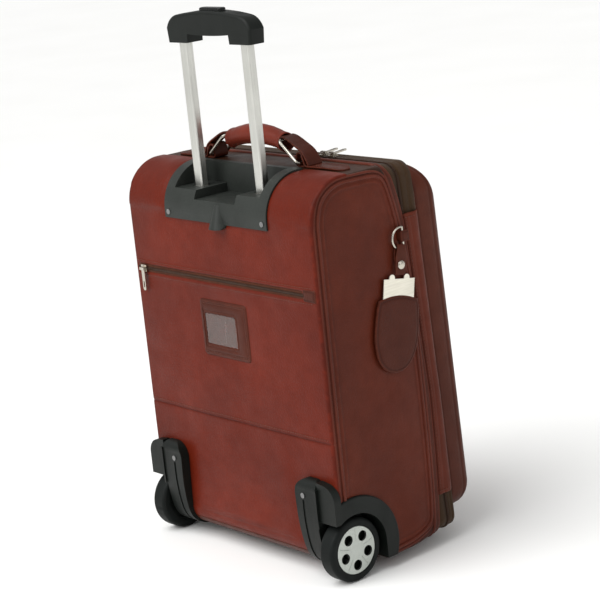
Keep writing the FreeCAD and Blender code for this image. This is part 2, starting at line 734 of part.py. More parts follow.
def right_housing():
    d, z = WHEEL_DEPTH, WHEEL_R
    wall_r = WELL_R + HOUSING_WALL
    low = FLOOR_GAP + 2
    fender = rod_x(HALF_WIDTH + CLEAR, FENDER_OUTER_X, d, z, FENDER_R)
    outer_rim = [e for e in fender.Edges if e.BoundBox.XMin > FENDER_OUTER_X - 0.1]
    fender = fender.makeFillet(2.0, outer_rim)
    fender = fender.common(box(170, 190, -6, 100, low, 120))
    liner = rod_x(HOUSING_INNER_X, FENDER_OUTER_X, d, z, wall_r)
    skirt = box(HOUSING_INNER_X, FENDER_OUTER_X, -3, d + wall_r, low, z)
    liner = fuse([liner, skirt]).common(box(100, 190, -BOSS_PROUD, 100, low, 120))
    liner = liner.common(body_block(-BOSS_PROUD)).cut(behind_rib())
    last = LOBE_SPAN[1]
    cheek = upright_cheek(last, FENDER_OUTER_X)
    ridge = moved(rib_slice(last - 1, last + 2), Vector(0, 2, 0))
    ridge = ridge.common(box(100, 200, -30, 0, 46, LOBE_TOP_Z - 10))
    whole = fuse([fender, liner, lobe(), cheek, ridge])
    well_start = HOUSING_INNER_X + HOUSING_WALL
    well = rod_x(well_start, 200, d, z, WELL_R)
    way_out = box(well_start, 200, -40, d + WELL_R, -10, z)
    rear_way = box(last + 2, 200, -40, d, -10, CHEEK_LOW_Z)
    whole = whole.cut(fuse([well, way_out, rear_way]))
    axle_seat = rod_x(HOUSING_INNER_X - 12, HOUSING_INNER_X + 6, d, z, 12)
    whole = fuse([whole, axle_seat])
    return whole.cut(rod_x(100, 200, d, z, AXLE_R))


def upright_cheek(x0, x1):
    """The plain half of the boss, above the tyre."""
    corners = [
        point(x0, -BOSS_PROUD + 2, CHEEK_LOW_Z - 6),
        point(x1, -BOSS_PROUD + 2, CHEEK_LOW_Z - 6),
        point(x1, -BOSS_PROUD + 2, CHEEK_TOP_Z),
        point(x0, -BOSS_PROUD + 2, CHEEK_TOP_Z + 4),
    ]
    outline = rounded_wire(corners, [0, 0, 20, 0])
    return prism(outline, Vector(0, -(BOSS_PROUD - 2 - CLEAR), 0))


def make_wheels():
    for name, side in (("right", 1), ("left", -1)):
        hub_shapes(name, side)
    axle = rod_x(HOUSING_INNER_X - 12, WHEEL_OUTER_X - 4.2, WHEEL_DEPTH, WHEEL_R, AXLE_R)
    keep("wheel_axles", both_sides(axle))
    screws = [back_screw(side * 129, 110, BOSS_PROUD) for side in (-1, 1)]
    housing = right_housing().cut(screws[1])
    keep("wheel_housing_right", housing)
    keep("wheel_housing_left", mirrored(housing))
    return screws


def make_screws(screws):
    """Gathers the screws on the back and makes their holes in what lies behind."""
    every_screw = group(screws)
    keep("back_screws", every_screw)
    for name in ("back_panel", "body_lining"):
        keep(name, nodes[name].cut(every_screw))


def trim_body():
    """Takes the housings out of the body's panels, lining and piping."""
    housings = both_sides(nodes["wheel_housing_right"])
    for name in ("back_panel", "bottom_panel", "side_panel_left", "side_panel_right"):
        keep(name, nodes[name].cut(housings))
    for name in ("body_piping", "body_lining"):
        keep(name, nodes[name].cut(housings))


def make_feet():
    foot = Part.makeCone(15, 12, FLOOR_GAP, point(118, 118, FLOOR_GAP), Vector(0, 0, -1))
    keep("front_feet", both_sides(foot))


# ---- carry handle ----
def ring_loop():
    """The right wire ring between the handle and its leather loop."""
    near = HANDLE_DEPTH - RING_HALF_DEPTH
    far = HANDLE_DEPTH + RING_HALF_DEPTH
    top_x, top_z = RING_TOP
    foot_x, foot_z = RING_FOOT
    corners = [
        point(top_x, near, top_z),
        point(top_x, far, top_z),
        point(foot_x, far, foot_z),
        point(foot_x, near, foot_z),
    ]
    return tube_along(rounded_wire(corners, [5] * 4), RING_WIRE_R)


def make_carry_handle():
    ring = ring_loop()
    half = CARRY_GRIP_HALF
    ends = point(half, HANDLE_DEPTH, CARRY_GRIP_Z)
    arch = Part.Arc(flipped(ends), point(0, HANDLE_DEPTH, CARRY_GRIP_Z + CARRY_ARCH), ends).toShape()
    path = Part.Wire([arch])
    start = arch.valueAt(arch.FirstParameter)
    section = Part.Wire(Part.makeCircle(CARRY_GRIP_R, start, arch.tangentAt(arch.FirstParameter)))
    grip = path.makePipeShell([section], True, False)
    slot = fuse([rod_d(60, 100, RING_TOP[0], RING_TOP[1], RING_WIRE_R + CLEAR), ring])
    keep("carry_grip", grip.cut(slot).cut(mirrored(slot)))
    keep("carry_rings", group([ring, mirrored(ring)]))
    foot_x, foot_z = RING_FOOT
    half = RING_HALF_DEPTH - RING_WIRE_R - 1.5
    near = HANDLE_DEPTH - half
    far = HANDLE_DEPTH + half
    bottom = TOP_Z + CLEAR
    loop_top = foot_z + RING_WIRE_R + CLEAR + CARRY_LIFT
    loop = box(foot_x - 7, foot_x + 7, near, far, bottom, loop_top + 2.5)
    crown = [e for e in loop.Edges if e.BoundBox.ZMin > loop_top and e.BoundBox.XLength < 0.01]
    loop = loop.makeFillet(4, crown)
    inside = box(foot_x - 4.5, foot_x + 4.5, 0, 200, foot_z - RING_WIRE_R - CLEAR, loop_top)
    side_slot = box(foot_x - 8, foot_x, 0, 200, foot_z + 1.5, loop_top)
    tail = box(foot_x, foot_x + 72, near, far, bottom, bottom + 2.5)
    corners = [e for e in tail.Edges if e.BoundBox.ZLength > 2.4 and e.BoundBox.XMin > foot_x + 50]
    tail = tail.makeFillet(9, corners)
    chape = fuse([loop, tail]).cut(inside).cut(side_slot)
    keep("carry_chapes", both_sides(chape))
    keep("carry_straps", both_sides(bowed_strap(near, far, bottom + 2.5)))


def bowed_strap(near, far, base):
    """The leather cover that bows from the case's top to the handle's end."""
    outer = [point(110, near, base), point(102, near, 519), point(74, near, 532)]
    inner = [point(107.5, near, base), point(100, near, 517.5), point(74, near, 529.5)]
    edges = [
        Part.Arc(*outer).toShape(),
        Part.Arc(*inner).toShape(),
        Part.LineSegment(outer[0], inner[0]).toShape(),
        Part.LineSegment(outer[2], inner[2]).toShape(),
    ]
    return prism(Part.Wire(Part.__sortEdges__(edges)), Vector(0, near - far, 0))


# ---- back face: name window, pocket zip ----
def make_back_details():
    frame = box(-41, 49, -2.0, -CLEAR, 261, 332)
    opening = box(-18, 42, -10, 10, 275, 315)
    window = box(-20, 44, -1.2, -CLEAR - 0.1, 273, 317)
    keep("id_frame", frame.cut(opening).cut(window))
    keep("id_window", window)
    tape = box(-153, 172, -1.2, 0 - CLEAR / 3, 353, 367)
    coil = rod_x(-150, 168, -1.2, 360, 1.0)
    keep("pocket_zip_tape", fuse([tape, coil]))
    tab = box(-176, -154, -2.0, -CLEAR / 3, 353, 367)
    keep("pocket_tab", tab)
    slider, pull = zip_slider_and_pull(26)
    for shape, name in ((slider, "pocket_slider"), (pull, "pocket_pull")):
        turned = shape.copy()
        turned.rotate(Vector(0, 0, 0), Z_AXIS, 180)
        keep(name, moved(turned, point(158, -2.5, 360)))


def make_main_sliders():
    slider, pull = zip_slider_and_pull(20)
    top = SEAM_HEIGHT - TAPE_INSET + TEETH + CLEAR
    for name, x in MAIN_SLIDERS.items():
        for shape, part in ((slider, "slider"), (pull, "pull")):
            laid = shape.copy()
            laid.rotate(Vector(0, 0, 0), X_AXIS, -90)
            keep("main_%s_%s" % (part, name), on_seam(moved(laid, point(x, BAND / 2, top))))


# ---- luggage tag on the left side ----
def make_tag():
    x = -HALF_WIDTH - TAG_STANDOFF
    wire = TAG_WIRE_R
    bar_d = 134.0
    ring_z = 404.0
    half = 13.0
    low = point(x, bar_d, ring_z - half)
    high = point(x, bar_d, ring_z + half)
    arc = Part.Arc(high, point(x, bar_d - 17, ring_z), low).toShape()
    ends = [Part.makeSphere(wire, low), Part.makeSphere(wire, high)]
    keep("tag_ring", fuse([rod_between(low, high, wire), arc_rod(arc, wire)] + ends))
    tab = box(x - wire - 1.8, -HALF_WIDTH - CLEAR, bar_d - 3.6, bar_d + 9, ring_z - 4, ring_z + 8)
    tab = tab.cut(rod_between(point(x, bar_d, ring_z - 30), point(x, bar_d, ring_z + 30), wire + 0.5))
    tab = tab.cut(box(x - wire - 0.5, x + wire + 0.5, bar_d - 10, bar_d, ring_z - 20, ring_z + 20))
    keep("tag_tab", tab)
    hang_d = bar_d - 6
    hang_z = ring_z - half + 0.4
    outer_x = x - wire - 1.9
    inner_x = x + wire + 0.5
    front_leaf = box(outer_x, outer_x + 1.4, hang_d - 3, hang_d + 3, hang_z - 12, hang_z + 6.0)
    rear_leaf = box(inner_x, inner_x + 1.4, hang_d - 3, hang_d + 3, hang_z - 12, hang_z + 6.0)
    crown = box(outer_x, inner_x + 1.4, hang_d - 3, hang_d + 3, hang_z + 4.6, hang_z + 6.0)
    seam = box(outer_x, inner_x + 1.4, hang_d - 3, hang_d + 3, hang_z - 12, hang_z - 8)
    tongue_end = box(outer_x, outer_x + 1.4, hang_d - 7, hang_d + 7, hang_z - 32, hang_z - 9)
    snap = rod_x(outer_x - 1.0, outer_x + 0.5, hang_d, hang_z - 19, 3.6)
    strap = fuse([front_leaf, rear_leaf, crown, seam, tongue_end, snap])
    plate_z = hang_z - 38
    plate_x = outer_x + 1.8
    plate = box(plate_x, plate_x + 1.2, hang_d - 25, hang_d + 25, plate_z - 48, plate_z + 2)
    lugs = [rod_x(plate_x, plate_x + 1.2, hang_d + side * 12, plate_z + 3, 4.5) for side in (-1, 1)]
    plate = fuse([plate] + lugs)
    pouch = tag_tongue(plate_x - 1.4, hang_d, plate_z - 1)
    window = rod_x(plate_x - 5, plate_x + 1.2, hang_d, plate_z + 46, 76)
    above = box(plate_x - 5, plate_x + 1.2, hang_d - 50, hang_d + 50, plate_z - 20, plate_z + 50)
    tongue = pouch.cut(window).cut(above).cut(plate)
    hanging = {"tag_strap": strap, "tag_plate": plate, "tag_body": tongue}
    for name, shape in hanging.items():
        leaning = shape.copy()
        leaning.rotate(point(x, hang_d, hang_z), X_AXIS, TAG_LEAN)
        keep(name, leaning)


def arc_rod(edge, radius):
    start = edge.valueAt(edge.FirstParameter)
    ring = Part.Wire(Part.makeCircle(radius, start, edge.tangentAt(edge.FirstParameter)))
    return Part.Wire([edge]).makePipeShell([ring], True, False)


def tag_tongue(x, depth, top):
    """The leather tongue: wide shoulders, tapering to a round tip."""

    def side(sign):
        shoulder = Part.Arc(
            point(x, depth + sign * 27, top),
            point(x, depth + sign * 34, top - 30),
            point(x, depth + sign * 36, top - 62),
        )
        flank = Part.Arc(
            point(x, depth + sign * 36, top - 62),
            point(x, depth + sign * 30, top - 89),
            point(x, depth + sign * 13, top - 108),
        )
        return [shoulder.toShape(), flank.toShape()]

    tip = Part.Arc(
        point(x, depth + 13, top - 108), point(x, depth, top - 112), point(x, depth - 13, top - 108)
    )
    head = Part.LineSegment(point(x, depth - 27, top), point(x, depth + 27, top))
    edges = side(1) + side(-1) + [tip.toShape(), head.toShape()]
    return prism(Part.Wire(Part.__sortEdges__(edges)), Vector(3.8, 0, 0))


def recentre():
    """Puts the origin at the bottom centre of the whole case."""
    sides = group([nodes["tag_strap"], nodes["wheel_housing_right"]]).optimalBoundingBox()
    ends = group([nodes["front_pocket"], nodes["tyre_left"]]).optimalBoundingBox()
    return Vector(-(sides.XMin + sides.XMax) / 2, -(ends.YMin + ends.YMax) / 2, 0)


def main():
    make_body_panels()
    make_lining()
    make_band()
    make_lid()
    make_front_pocket()
    screws = make_tray()
    make_tubes()
    make_grip()
    screws += make_wheels()
    make_screws(screws)
    trim_body()
    make_feet()
    make_carry_handle()
    make_back_details()
    make_main_sliders()
    make_tag()
    shift = recentre()
    print("origin shift", shift)
    os.makedirs("parts", exist_ok=True)
    for name, shape in nodes.items():
        moved(shape, shift).exportStep(os.path.join("parts", name + ".step"))
    print(len(nodes), "nodes")


main()
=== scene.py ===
import math

import bmesh
import bpy
import numpy as np
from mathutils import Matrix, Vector, noise


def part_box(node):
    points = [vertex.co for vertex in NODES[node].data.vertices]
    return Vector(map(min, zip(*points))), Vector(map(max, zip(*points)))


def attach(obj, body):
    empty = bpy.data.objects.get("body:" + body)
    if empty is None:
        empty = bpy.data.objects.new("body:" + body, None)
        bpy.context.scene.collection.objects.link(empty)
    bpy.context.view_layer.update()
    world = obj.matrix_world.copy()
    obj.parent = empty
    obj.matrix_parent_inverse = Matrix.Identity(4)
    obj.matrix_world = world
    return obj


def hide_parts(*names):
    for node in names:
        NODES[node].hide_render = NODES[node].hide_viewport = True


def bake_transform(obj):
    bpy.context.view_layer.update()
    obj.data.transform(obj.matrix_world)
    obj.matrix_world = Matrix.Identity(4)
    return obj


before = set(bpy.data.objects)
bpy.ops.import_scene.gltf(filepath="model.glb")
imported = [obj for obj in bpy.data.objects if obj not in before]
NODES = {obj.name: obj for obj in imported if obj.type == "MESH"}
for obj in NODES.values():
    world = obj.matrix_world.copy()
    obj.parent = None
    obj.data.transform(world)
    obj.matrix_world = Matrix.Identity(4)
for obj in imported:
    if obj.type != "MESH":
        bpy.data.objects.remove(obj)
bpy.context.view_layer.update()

# Shapes are worked out in millimetres as (x, depth, z): x across the case, depth from the
# back face towards the lid, z up from the floor. place() turns them into the row frame.
MM = 0.001
TUBE_DEPTH = 30.0
tube_low, tube_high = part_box("outer_tubes")
CENTRE_X = (tube_low.x + tube_high.x) / 2
BACK_Y = (tube_low.y + tube_high.y) / 2 + TUBE_DEPTH * MM

# ---- the case's own sizes ----
HALF = 180.0
BASE = 14.0
TOP = 494.0
CROWN_R = 52.0
HEEL_R = 30.0
SEAM_TAN = math.tan(math.radians(4.5))
LID_LEAN_TAN = math.tan(math.radians(2.2))
LOWER_SEAM_Z = 178.7
WHEEL = (20.0, 40.0)
ZIP_LEVEL = 15.0
LID_HALF = 170.0
LID_LOW = 33.0
LID_HIGH = 482.0
LID_R = 34.0
POCKET_ZIP_Z = 360.0
FLAP_LOW = 68.0
FLAP_HIGH = 430.0
HANDLE_DEPTH = 81.0

# ---- what the tray and the wheels take out of the leather ----
RECESS_HALF = 86.5
RECESS_LOW = 458.0
RECESS_DEPTH = 58.0
TRAY_HALF = 101.0
TRAY_LOW = 428.0
WELL_X = 147.7
WELL_TOP = 85.0
WELL_DEPTH = 70.2


def place(points):
    """Millimetres (x, depth, z) to metres in the row frame."""
    p = np.asarray(points, float)
    made = np.empty_like(p)
    made[..., 0] = p[..., 0] * MM + CENTRE_X
    made[..., 1] = BACK_Y - p[..., 1] * MM
    made[..., 2] = p[..., 2] * MM
    return made


def points_at(x, depth, z):
    """Points from three coordinates, any of which may be a single number."""
    return np.stack(np.broadcast_arrays(x, depth, z), -1)


def soft_step(value, start, end):
    t = np.clip((np.asarray(value, float) - start) / (end - start), 0.0, 1.0)
    return t * t * (3 - 2 * t)


def swell_from(distance, reach):
    """Rises from 0 at an edge to 1, most of it within the reach."""
    return 1 - np.exp(-distance / reach)


def hump(value, centre, width):
    return np.exp(-(((np.asarray(value, float) - centre) / width) ** 2))


def seam_depth(z):
    """Depth of the straight line that the lid's hinge and zip follow."""
    return 155.0 - SEAM_TAN * (np.asarray(z, float) - 120.0)


FRONT_CURVE = np.polyfit([14, 60, 116, 246, 330, 415, 494], [-14, -8, -1, 7, 8, 5.5, -10], 4)


def front_edge(z):
    """Depth of the body's front edge, which curves about the straight seam."""
    return seam_depth(z) + np.polyval(FRONT_CURVE, z)


def strip_edge(z):
    """Depth where the leather strip in front of the first piping ends."""
    return np.minimum(front_edge(z) + 8.0, seam_depth(z) + 12.4)


LID_CURVE = np.polyfit([33, 72, 150, 250, 350, 420, 482], [30, 30.5, 34, 37.5, 39.5, 41.5, 44.5], 3)


def lid_level(z):
    """How far the lid's edge stands in front of the straight seam."""
    return np.polyval(LID_CURVE, z)


def lid_face(x, z):
    """Depth of the lid's padded front."""
    flat = seam_depth(z) + 67.5 + LID_LEAN_TAN * (z - BASE)
    across = np.clip(1 - (x / 150.0) ** 2, 0, 1)
    upright = np.clip(1 - ((z - 244.0) / 185.0) ** 2, 0, 1)
    return flat + 3.0 * across * upright


# ---- materials ----
def srgb(red, green, blue):
    def linear(c):
        c /= 255.0
        return c / 12.92 if c <= 0.04045 else ((c + 0.055) / 1.055) ** 2.4

    return (linear(red), linear(green), linear(blue), 1.0)


def scaled(colour, factor):
    return (colour[0] * factor, colour[1] * factor, colour[2] * factor, 1.0)


class Paint:
    """A procedural material being put together."""

    def __init__(self, name, **sockets):
        self.material = bpy.data.materials.new(name)
        self.material.use_nodes = True
        self.tree = self.material.node_tree
        self.bsdf = self.tree.nodes["Principled BSDF"]
        for socket, value in sockets.items():
            self.bsdf.inputs[socket.replace("_", " ")].default_value = value
        self.where = self.node("TexCoord").outputs["Object"]
        self.last_bump = None

    def node(self, kind, **settings):
        made = self.tree.nodes.new("ShaderNode" + kind)
        for key, value in settings.items():
            setattr(made, key, value)
        return made

    def feed(self, target, value):
        if isinstance(value, bpy.types.NodeSocket):
            self.tree.links.new(value, target)
        else:
            target.default_value = value

    def stretched(self, stretch):
        if stretch is None:
            return self.where
        mapping = self.node("Mapping")
        self.feed(mapping.inputs["Vector"], self.where)
        mapping.inputs["Scale"].default_value = stretch
        return mapping.outputs["Vector"]

    def noise(self, scale, detail=3.0, stretch=None):
        made = self.node("TexNoise")
        self.feed(made.inputs["Vector"], self.stretched(stretch))
        made.inputs["Scale"].default_value = scale
        made.inputs["Detail"].default_value = detail
        return made.outputs["Fac"]

    def cells(self, scale, feature="F1"):
        made = self.node("TexVoronoi", feature=feature)
        self.feed(made.inputs["Vector"], self.where)
        made.inputs["Scale"].default_value = scale
        return made.outputs["Distance"]

    def bands(self, scale, direction, distortion=0.0):
        made = self.node("TexWave", bands_direction=direction)
        self.feed(made.inputs["Vector"], self.where)
        made.inputs["Scale"].default_value = scale
        made.inputs["Distortion"].default_value = distortion
        made.inputs["Detail Scale"].default_value = 2.0
        return made.outputs["Fac"]

    def mark(self, name):
        made = self.node("Attribute", attribute_name=name)
        return made.outputs["Fac"]

    def level(self, value, low, high, start=0.0, end=1.0):
        made = self.node("MapRange")
        for socket, given in zip(made.inputs[:5], (value, low, high, start, end)):
            self.feed(socket, given)
        return made.outputs["Result"]

    def math(self, operation, first, second):
        made = self.node("Math", operation=operation)
        self.feed(made.inputs[0], first)
        self.feed(made.inputs[1], second)
        return made.outputs[0]

    def mixed(self, factor, first, second):
        made = self.node("Mix", data_type="RGBA")
        for index, given in zip((0, 6, 7), (factor, first, second)):
            self.feed(made.inputs[index], given)
        return made.outputs[2]

    def over(self, tone, mask, amount, colour):
        """The colour laid over tone by a share of the mask."""
        return self.mixed(self.math("MULTIPLY", mask, amount), tone, colour)

    def colour(self, value):
        self.feed(self.bsdf.inputs["Base Color"], value)

    def roughness(self, value):
        self.feed(self.bsdf.inputs["Roughness"], value)

    def bump(self, height, distance, strength):
        made = self.node("Bump")
        self.feed(made.inputs["Height"], height)
        made.inputs["Distance"].default_value = distance
        made.inputs["Strength"].default_value = strength
        if self.last_bump is not None:
            self.feed(made.inputs["Normal"], self.last_bump)
        self.last_bump = made.outputs["Normal"]
        self.feed(self.bsdf.inputs["Normal"], self.last_bump)


def leather(name, base, rough=0.40):
    """Smooth calf leather: clouded colour, fine pores, soft creases, painted shade at seams and
    grooves, and lighter edges of wear with painted highlight.
    """
    paint = Paint(name, Coat_Weight=0.03, Coat_Roughness=0.3, Specular_IOR_Level=0.11)
    clouds = paint.level(paint.noise(8.0, 4.0), 0.32, 0.68)
    tone = paint.mixed(clouds, scaled(base, 0.80), scaled(base, 1.16))
    mottle = paint.level(paint.noise(70.0, 5.0), 0.38, 0.72)
    tone = paint.over(tone, mottle, 0.35, scaled(base, 0.62))
    pores = paint.cells(640.0)
    creases = paint.cells(230.0, "DISTANCE_TO_EDGE")
    pore_shade = paint.level(pores, 0.0, 0.35, 0.30, 0.0)
    tone = paint.mixed(pore_shade, tone, scaled(base, 0.45))
    # Painted shade: the seam mark darkens seams, grooves, the grip's underside and the insides of
    # open ends, where shade falls.
    seam = paint.mark("seam")
    tone = paint.over(tone, seam, 0.55, scaled(base, 0.38))
    # Lighter edges: partly edge wear, partly painted highlight on edges, crests and tops.
    wear_and_highlight = paint.math("MULTIPLY", paint.mark("wear_and_highlight"), paint.level(paint.noise(120.0), 0.4, 0.6))
    tone = paint.over(tone, wear_and_highlight, 0.5, scaled(base, 1.75))
    paint.colour(tone)
    sheen = paint.level(paint.noise(35.0, 3.0), 0.3, 0.7, rough - 0.07, rough + 0.10)
    paint.roughness(paint.math("ADD", sheen, paint.math("MULTIPLY", seam, 0.15)))
    paint.bump(paint.noise(26.0, 2.0), 0.0011, 0.55)
    paint.bump(paint.level(creases, 0.0, 0.10), 0.00022, 0.45)
    paint.bump(pores, 0.00028, 0.5)
    return paint.material


def woven(name, base, pitch=0.0011, rough=0.78):
    """Closely woven webbing or tape: ribs both ways, with slubs."""
    paint = Paint(name, Sheen_Weight=0.06, Sheen_Roughness=0.5, Specular_IOR_Level=0.15)
    scale = 0.31 / pitch
    ribs = paint.math("MULTIPLY", paint.bands(scale, "X"), paint.bands(scale, "Z"))
    across = paint.math("MULTIPLY", paint.bands(scale, "Y"), paint.bands(scale, "Z"))
    weave = paint.math("MAXIMUM", ribs, across)
    slub = paint.level(paint.noise(420.0, 3.0), 0.35, 0.7)
    tone = paint.mixed(weave, scaled(base, 0.55), scaled(base, 1.25))
    tone = paint.over(tone, slub, 0.4, scaled(base, 0.7))
    clouds = paint.level(paint.noise(14.0, 3.0), 0.35, 0.65)
    tone = paint.over(tone, clouds, 0.3, scaled(base, 1.4))
    paint.colour(tone)
    paint.roughness(paint.level(slub, 0.0, 1.0, rough - 0.08, rough + 0.08))
    paint.bump(weave, 0.0004, 0.7)
    paint.bump(paint.noise(90.0), 0.0006, 0.4)
    return paint.material


def thread_paint(name, base):
    paint = Paint(name, Sheen_Weight=0.06, Specular_IOR_Level=0.25)
    twist = paint.bands(900.0, "DIAGONAL", 1.0)
    tone = paint.mixed(twist, scaled(base, 0.6), scaled(base, 1.3))
    paint.colour(tone)
    paint.roughness(paint.level(paint.noise(300.0), 0.3, 0.7, 0.5, 0.7))
    paint.bump(twist, 0.0002, 0.8)
    return paint.material


def moulded(name, base, rough, grit=900.0, depth=0.00016):
    """Moulded plastic with a fine spark-eroded texture and handling marks."""
    paint = Paint(name, Specular_IOR_Level=0.20)
    clouds = paint.level(paint.noise(18.0, 4.0), 0.35, 0.65)
    tone = paint.mixed(clouds, scaled(base, 0.86), scaled(base, 1.15))
    dust = paint.level(paint.noise(260.0, 6.0), 0.55, 0.75)
    tone = paint.over(tone, dust, 0.25, scaled(base, 1.8))
    paint.colour(tone)
    marks = paint.level(paint.noise(45.0, 5.0, (1.0, 1.0, 0.3)), 0.35, 0.7)
    paint.roughness(paint.level(marks, 0.0, 1.0, rough - 0.08, rough + 0.12))
    paint.bump(paint.cells(grit), depth, 0.6)
    paint.bump(paint.noise(30.0, 2.0), 0.0004, 0.3)
    return paint.material


def rubber(name, base):
    paint = Paint(name, Specular_IOR_Level=0.12)
    clouds = paint.level(paint.noise(40.0, 5.0), 0.3, 0.7)
    tone = paint.mixed(clouds, scaled(base, 0.8), scaled(base, 1.3))
    scuffs = paint.level(paint.noise(110.0, 6.0, (0.25, 1.0, 1.0)), 0.52, 0.72)
    tone = paint.over(tone, scuffs, 0.30, scaled(base, 2.0))
    paint.colour(tone)
    paint.roughness(paint.level(scuffs, 0.0, 1.0, 0.55, 0.78))
    paint.bump(scuffs, 0.0003, 0.4)
    paint.bump(paint.noise(700.0), 0.0002, 0.5)
    return paint.material


def metal(name, base, rough, stretch=None):
    """Polished or brushed metal with fine scratches."""
    paint = Paint(name, Metallic=1.0)
    lines = paint.noise(900.0, 5.0, stretch)
    wide = paint.level(paint.noise(16.0, 4.0), 0.3, 0.7)
    tone = paint.mixed(wide, scaled(base, 0.88), scaled(base, 1.05))
    tone = paint.mixed(paint.level(lines, 0.35, 0.75, 0.0, 0.35), tone, scaled(base, 0.7))
    paint.colour(tone)
    paint.roughness(paint.level(lines, 0.3, 0.7, rough - 0.06, rough + 0.14))
    paint.bump(lines, 0.00006, 0.5)
    return paint.material


def clear_film(name):
    paint = Paint(name, Transmission_Weight=0.9, IOR=1.45, Specular_IOR_Level=0.6)
    scratches = paint.level(paint.noise(240.0, 5.0, (1.0, 1.0, 0.15)), 0.5, 0.8)
    paint.colour(paint.mixed(scratches, srgb(205, 190, 182), srgb(235, 226, 220)))
    paint.roughness(paint.level(scratches, 0.0, 1.0, 0.10, 0.38))
    paint.bump(paint.noise(30.0, 2.0), 0.0006, 0.4)
    return paint.material


def card(name, base):
    """Board or paper: faint fibres."""
    paint = Paint(name, Specular_IOR_Level=0.25)
    fibres = paint.noise(320.0, 6.0, (0.3, 1.0, 1.0))
    tone = paint.mixed(paint.level(fibres, 0.35, 0.65), scaled(base, 0.85), scaled(base, 1.1))
    paint.colour(tone)
    paint.roughness(paint.level(fibres, 0.3, 0.7, 0.75, 0.92))
    paint.bump(fibres, 0.0002, 0.5)
    return paint.material


def floor_paint(name):
    paint = Paint(name, Specular_IOR_Level=0.2)
    drift = paint.noise(3.0, 3.0)
    paint.colour(paint.mixed(drift, srgb(247, 247, 245), srgb(251, 251, 250)))
    paint.roughness(paint.level(drift, 0.3, 0.7, 0.7, 0.8))
    return paint.material


CALF = leather("calf_leather", srgb(97, 29, 13))
CALF_TOP = leather("calf_leather_top", srgb(57, 32, 19), 0.42)
CALF_SIDE = leather("calf_leather_side", srgb(88, 35, 20), 0.44)
CALF_LID = leather("calf_leather_lid", srgb(78, 35, 22), 0.44)
CALF_BRIGHT = leather("calf_leather_handle", srgb(118, 48, 35), 0.36)
CALF_DARK = leather("calf_leather_dark", srgb(74, 32, 20), 0.42)
PIPING = leather("piping_leather", srgb(92, 42, 30), 0.34)
TAPE_BROWN = woven("zip_tape_brown", srgb(62, 42, 22))
TAPE_RED = woven("zip_tape_red_brown", srgb(84, 44, 26))
COIL = moulded("zip_coil", srgb(58, 36, 22), 0.38, 1600.0, 0.00005)
THREAD = thread_paint("waxed_thread", srgb(104, 56, 42))
LINING = woven("lining_cloth", srgb(58, 54, 50), 0.0016, 0.7)
BLACK = moulded("moulded_plastic", srgb(16, 20, 17), 0.46)
BLACK_BUTTON = moulded("button_plastic", srgb(20, 22, 21), 0.30, 1400.0, 0.00006)
TRAY = moulded("tray_plastic", srgb(43, 46, 43), 0.42)
RUBBER = rubber("tyre_rubber", srgb(18, 21, 20))
BRUSHED = metal("brushed_tube", srgb(210, 210, 204), 0.30, (1.0, 1.0, 0.02))
BRIGHT = metal("bright_metal", srgb(196, 190, 178), 0.20)
STEEL = metal("steel", srgb(140, 140, 140), 0.32)
CAP = metal("wheel_cap_silver", srgb(182, 187, 181), 0.34)
PLATE = metal("tag_plate_satin", srgb(240, 236, 222), 0.46, (1.0, 0.05, 1.0))
FILM = clear_film("clear_film")
BOARD = card("grey_board", srgb(150, 140, 124))


# ---- building meshes ----
def grid_faces(rows, columns, closed=False, offset=0):
    faces = []
    for i in range(rows - 1):
        for j in range(columns if closed else columns - 1):
            k = (j + 1) % columns
            a, b = offset + i * columns, offset + (i + 1) * columns
            faces.append((a + j, a + k, b + k, b + j))
    return faces


def without(points, faces, hidden):
    """The faces whose centres are not in the hidden region."""
    flat = np.asarray(points, float).reshape(-1, 3)
    centres = np.array([flat[list(face)].mean(0) for face in faces])
    keep = ~hidden(centres[:, 0], centres[:, 1], centres[:, 2])
    return [face for face, kept in zip(faces, keep) if kept]


def wall_faces(rim, offset):
    """Faces between the first rim points and the same points offset later."""
    return [(j, (j + 1) % rim, (j + 1) % rim + offset, j + offset) for j in range(rim)]


def settle(obj):
    """Applies the modifiers, so that the mesh is final."""
    graph = bpy.context.evaluated_depsgraph_get()
    final = bpy.data.meshes.new_from_object(obj.evaluated_get(graph))
    obj.modifiers.clear()
    obj.data = final


def add_object(name, data):
    obj = bpy.data.objects.new(name, data)
    bpy.context.scene.collection.objects.link(obj)
    return obj


def add_mesh(name, points, faces, material, marks=None, thick=0.0):
    """A mesh object from millimetre points; thick gives the sheet its thickness."""
    flat = np.asarray(points, float).reshape(-1, 3)
    mesh = bpy.data.meshes.new(name)
    mesh.from_pydata(place(flat).tolist(), [], faces)
    for mark, values in (marks or {}).items():
        layer = mesh.attributes.new(mark, "FLOAT", "POINT")
        layer.data.foreach_set("value", np.asarray(values, np.float32).ravel())
    mesh.validate()
    joined = bmesh.new()
    joined.from_mesh(mesh)
    bmesh.ops.remove_doubles(joined, verts=joined.verts, dist=0.00001)
    bmesh.ops.recalc_face_normals(joined, faces=joined.faces)
    joined.to_mesh(mesh)
    joined.free()
    mesh.materials.append(material)
    mesh.shade_smooth()
    obj = add_object(name, mesh)
    if thick:
        solid = obj.modifiers.new("thick", "SOLIDIFY")
        solid.thickness = thick * MM
        solid.offset = 0.0
        settle(obj)
    return obj


def piece(obj, body, slot, *nodes):
    """Puts a finished object on its body and hides the CAD nodes it stands for; slot is not used.
    """
    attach(obj, body)
    if nodes:
        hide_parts(*nodes)
    return obj


def unit(vectors):
    length = np.linalg.norm(vectors, axis=-1, keepdims=True)
    return vectors / np.maximum(length, 1e-9)


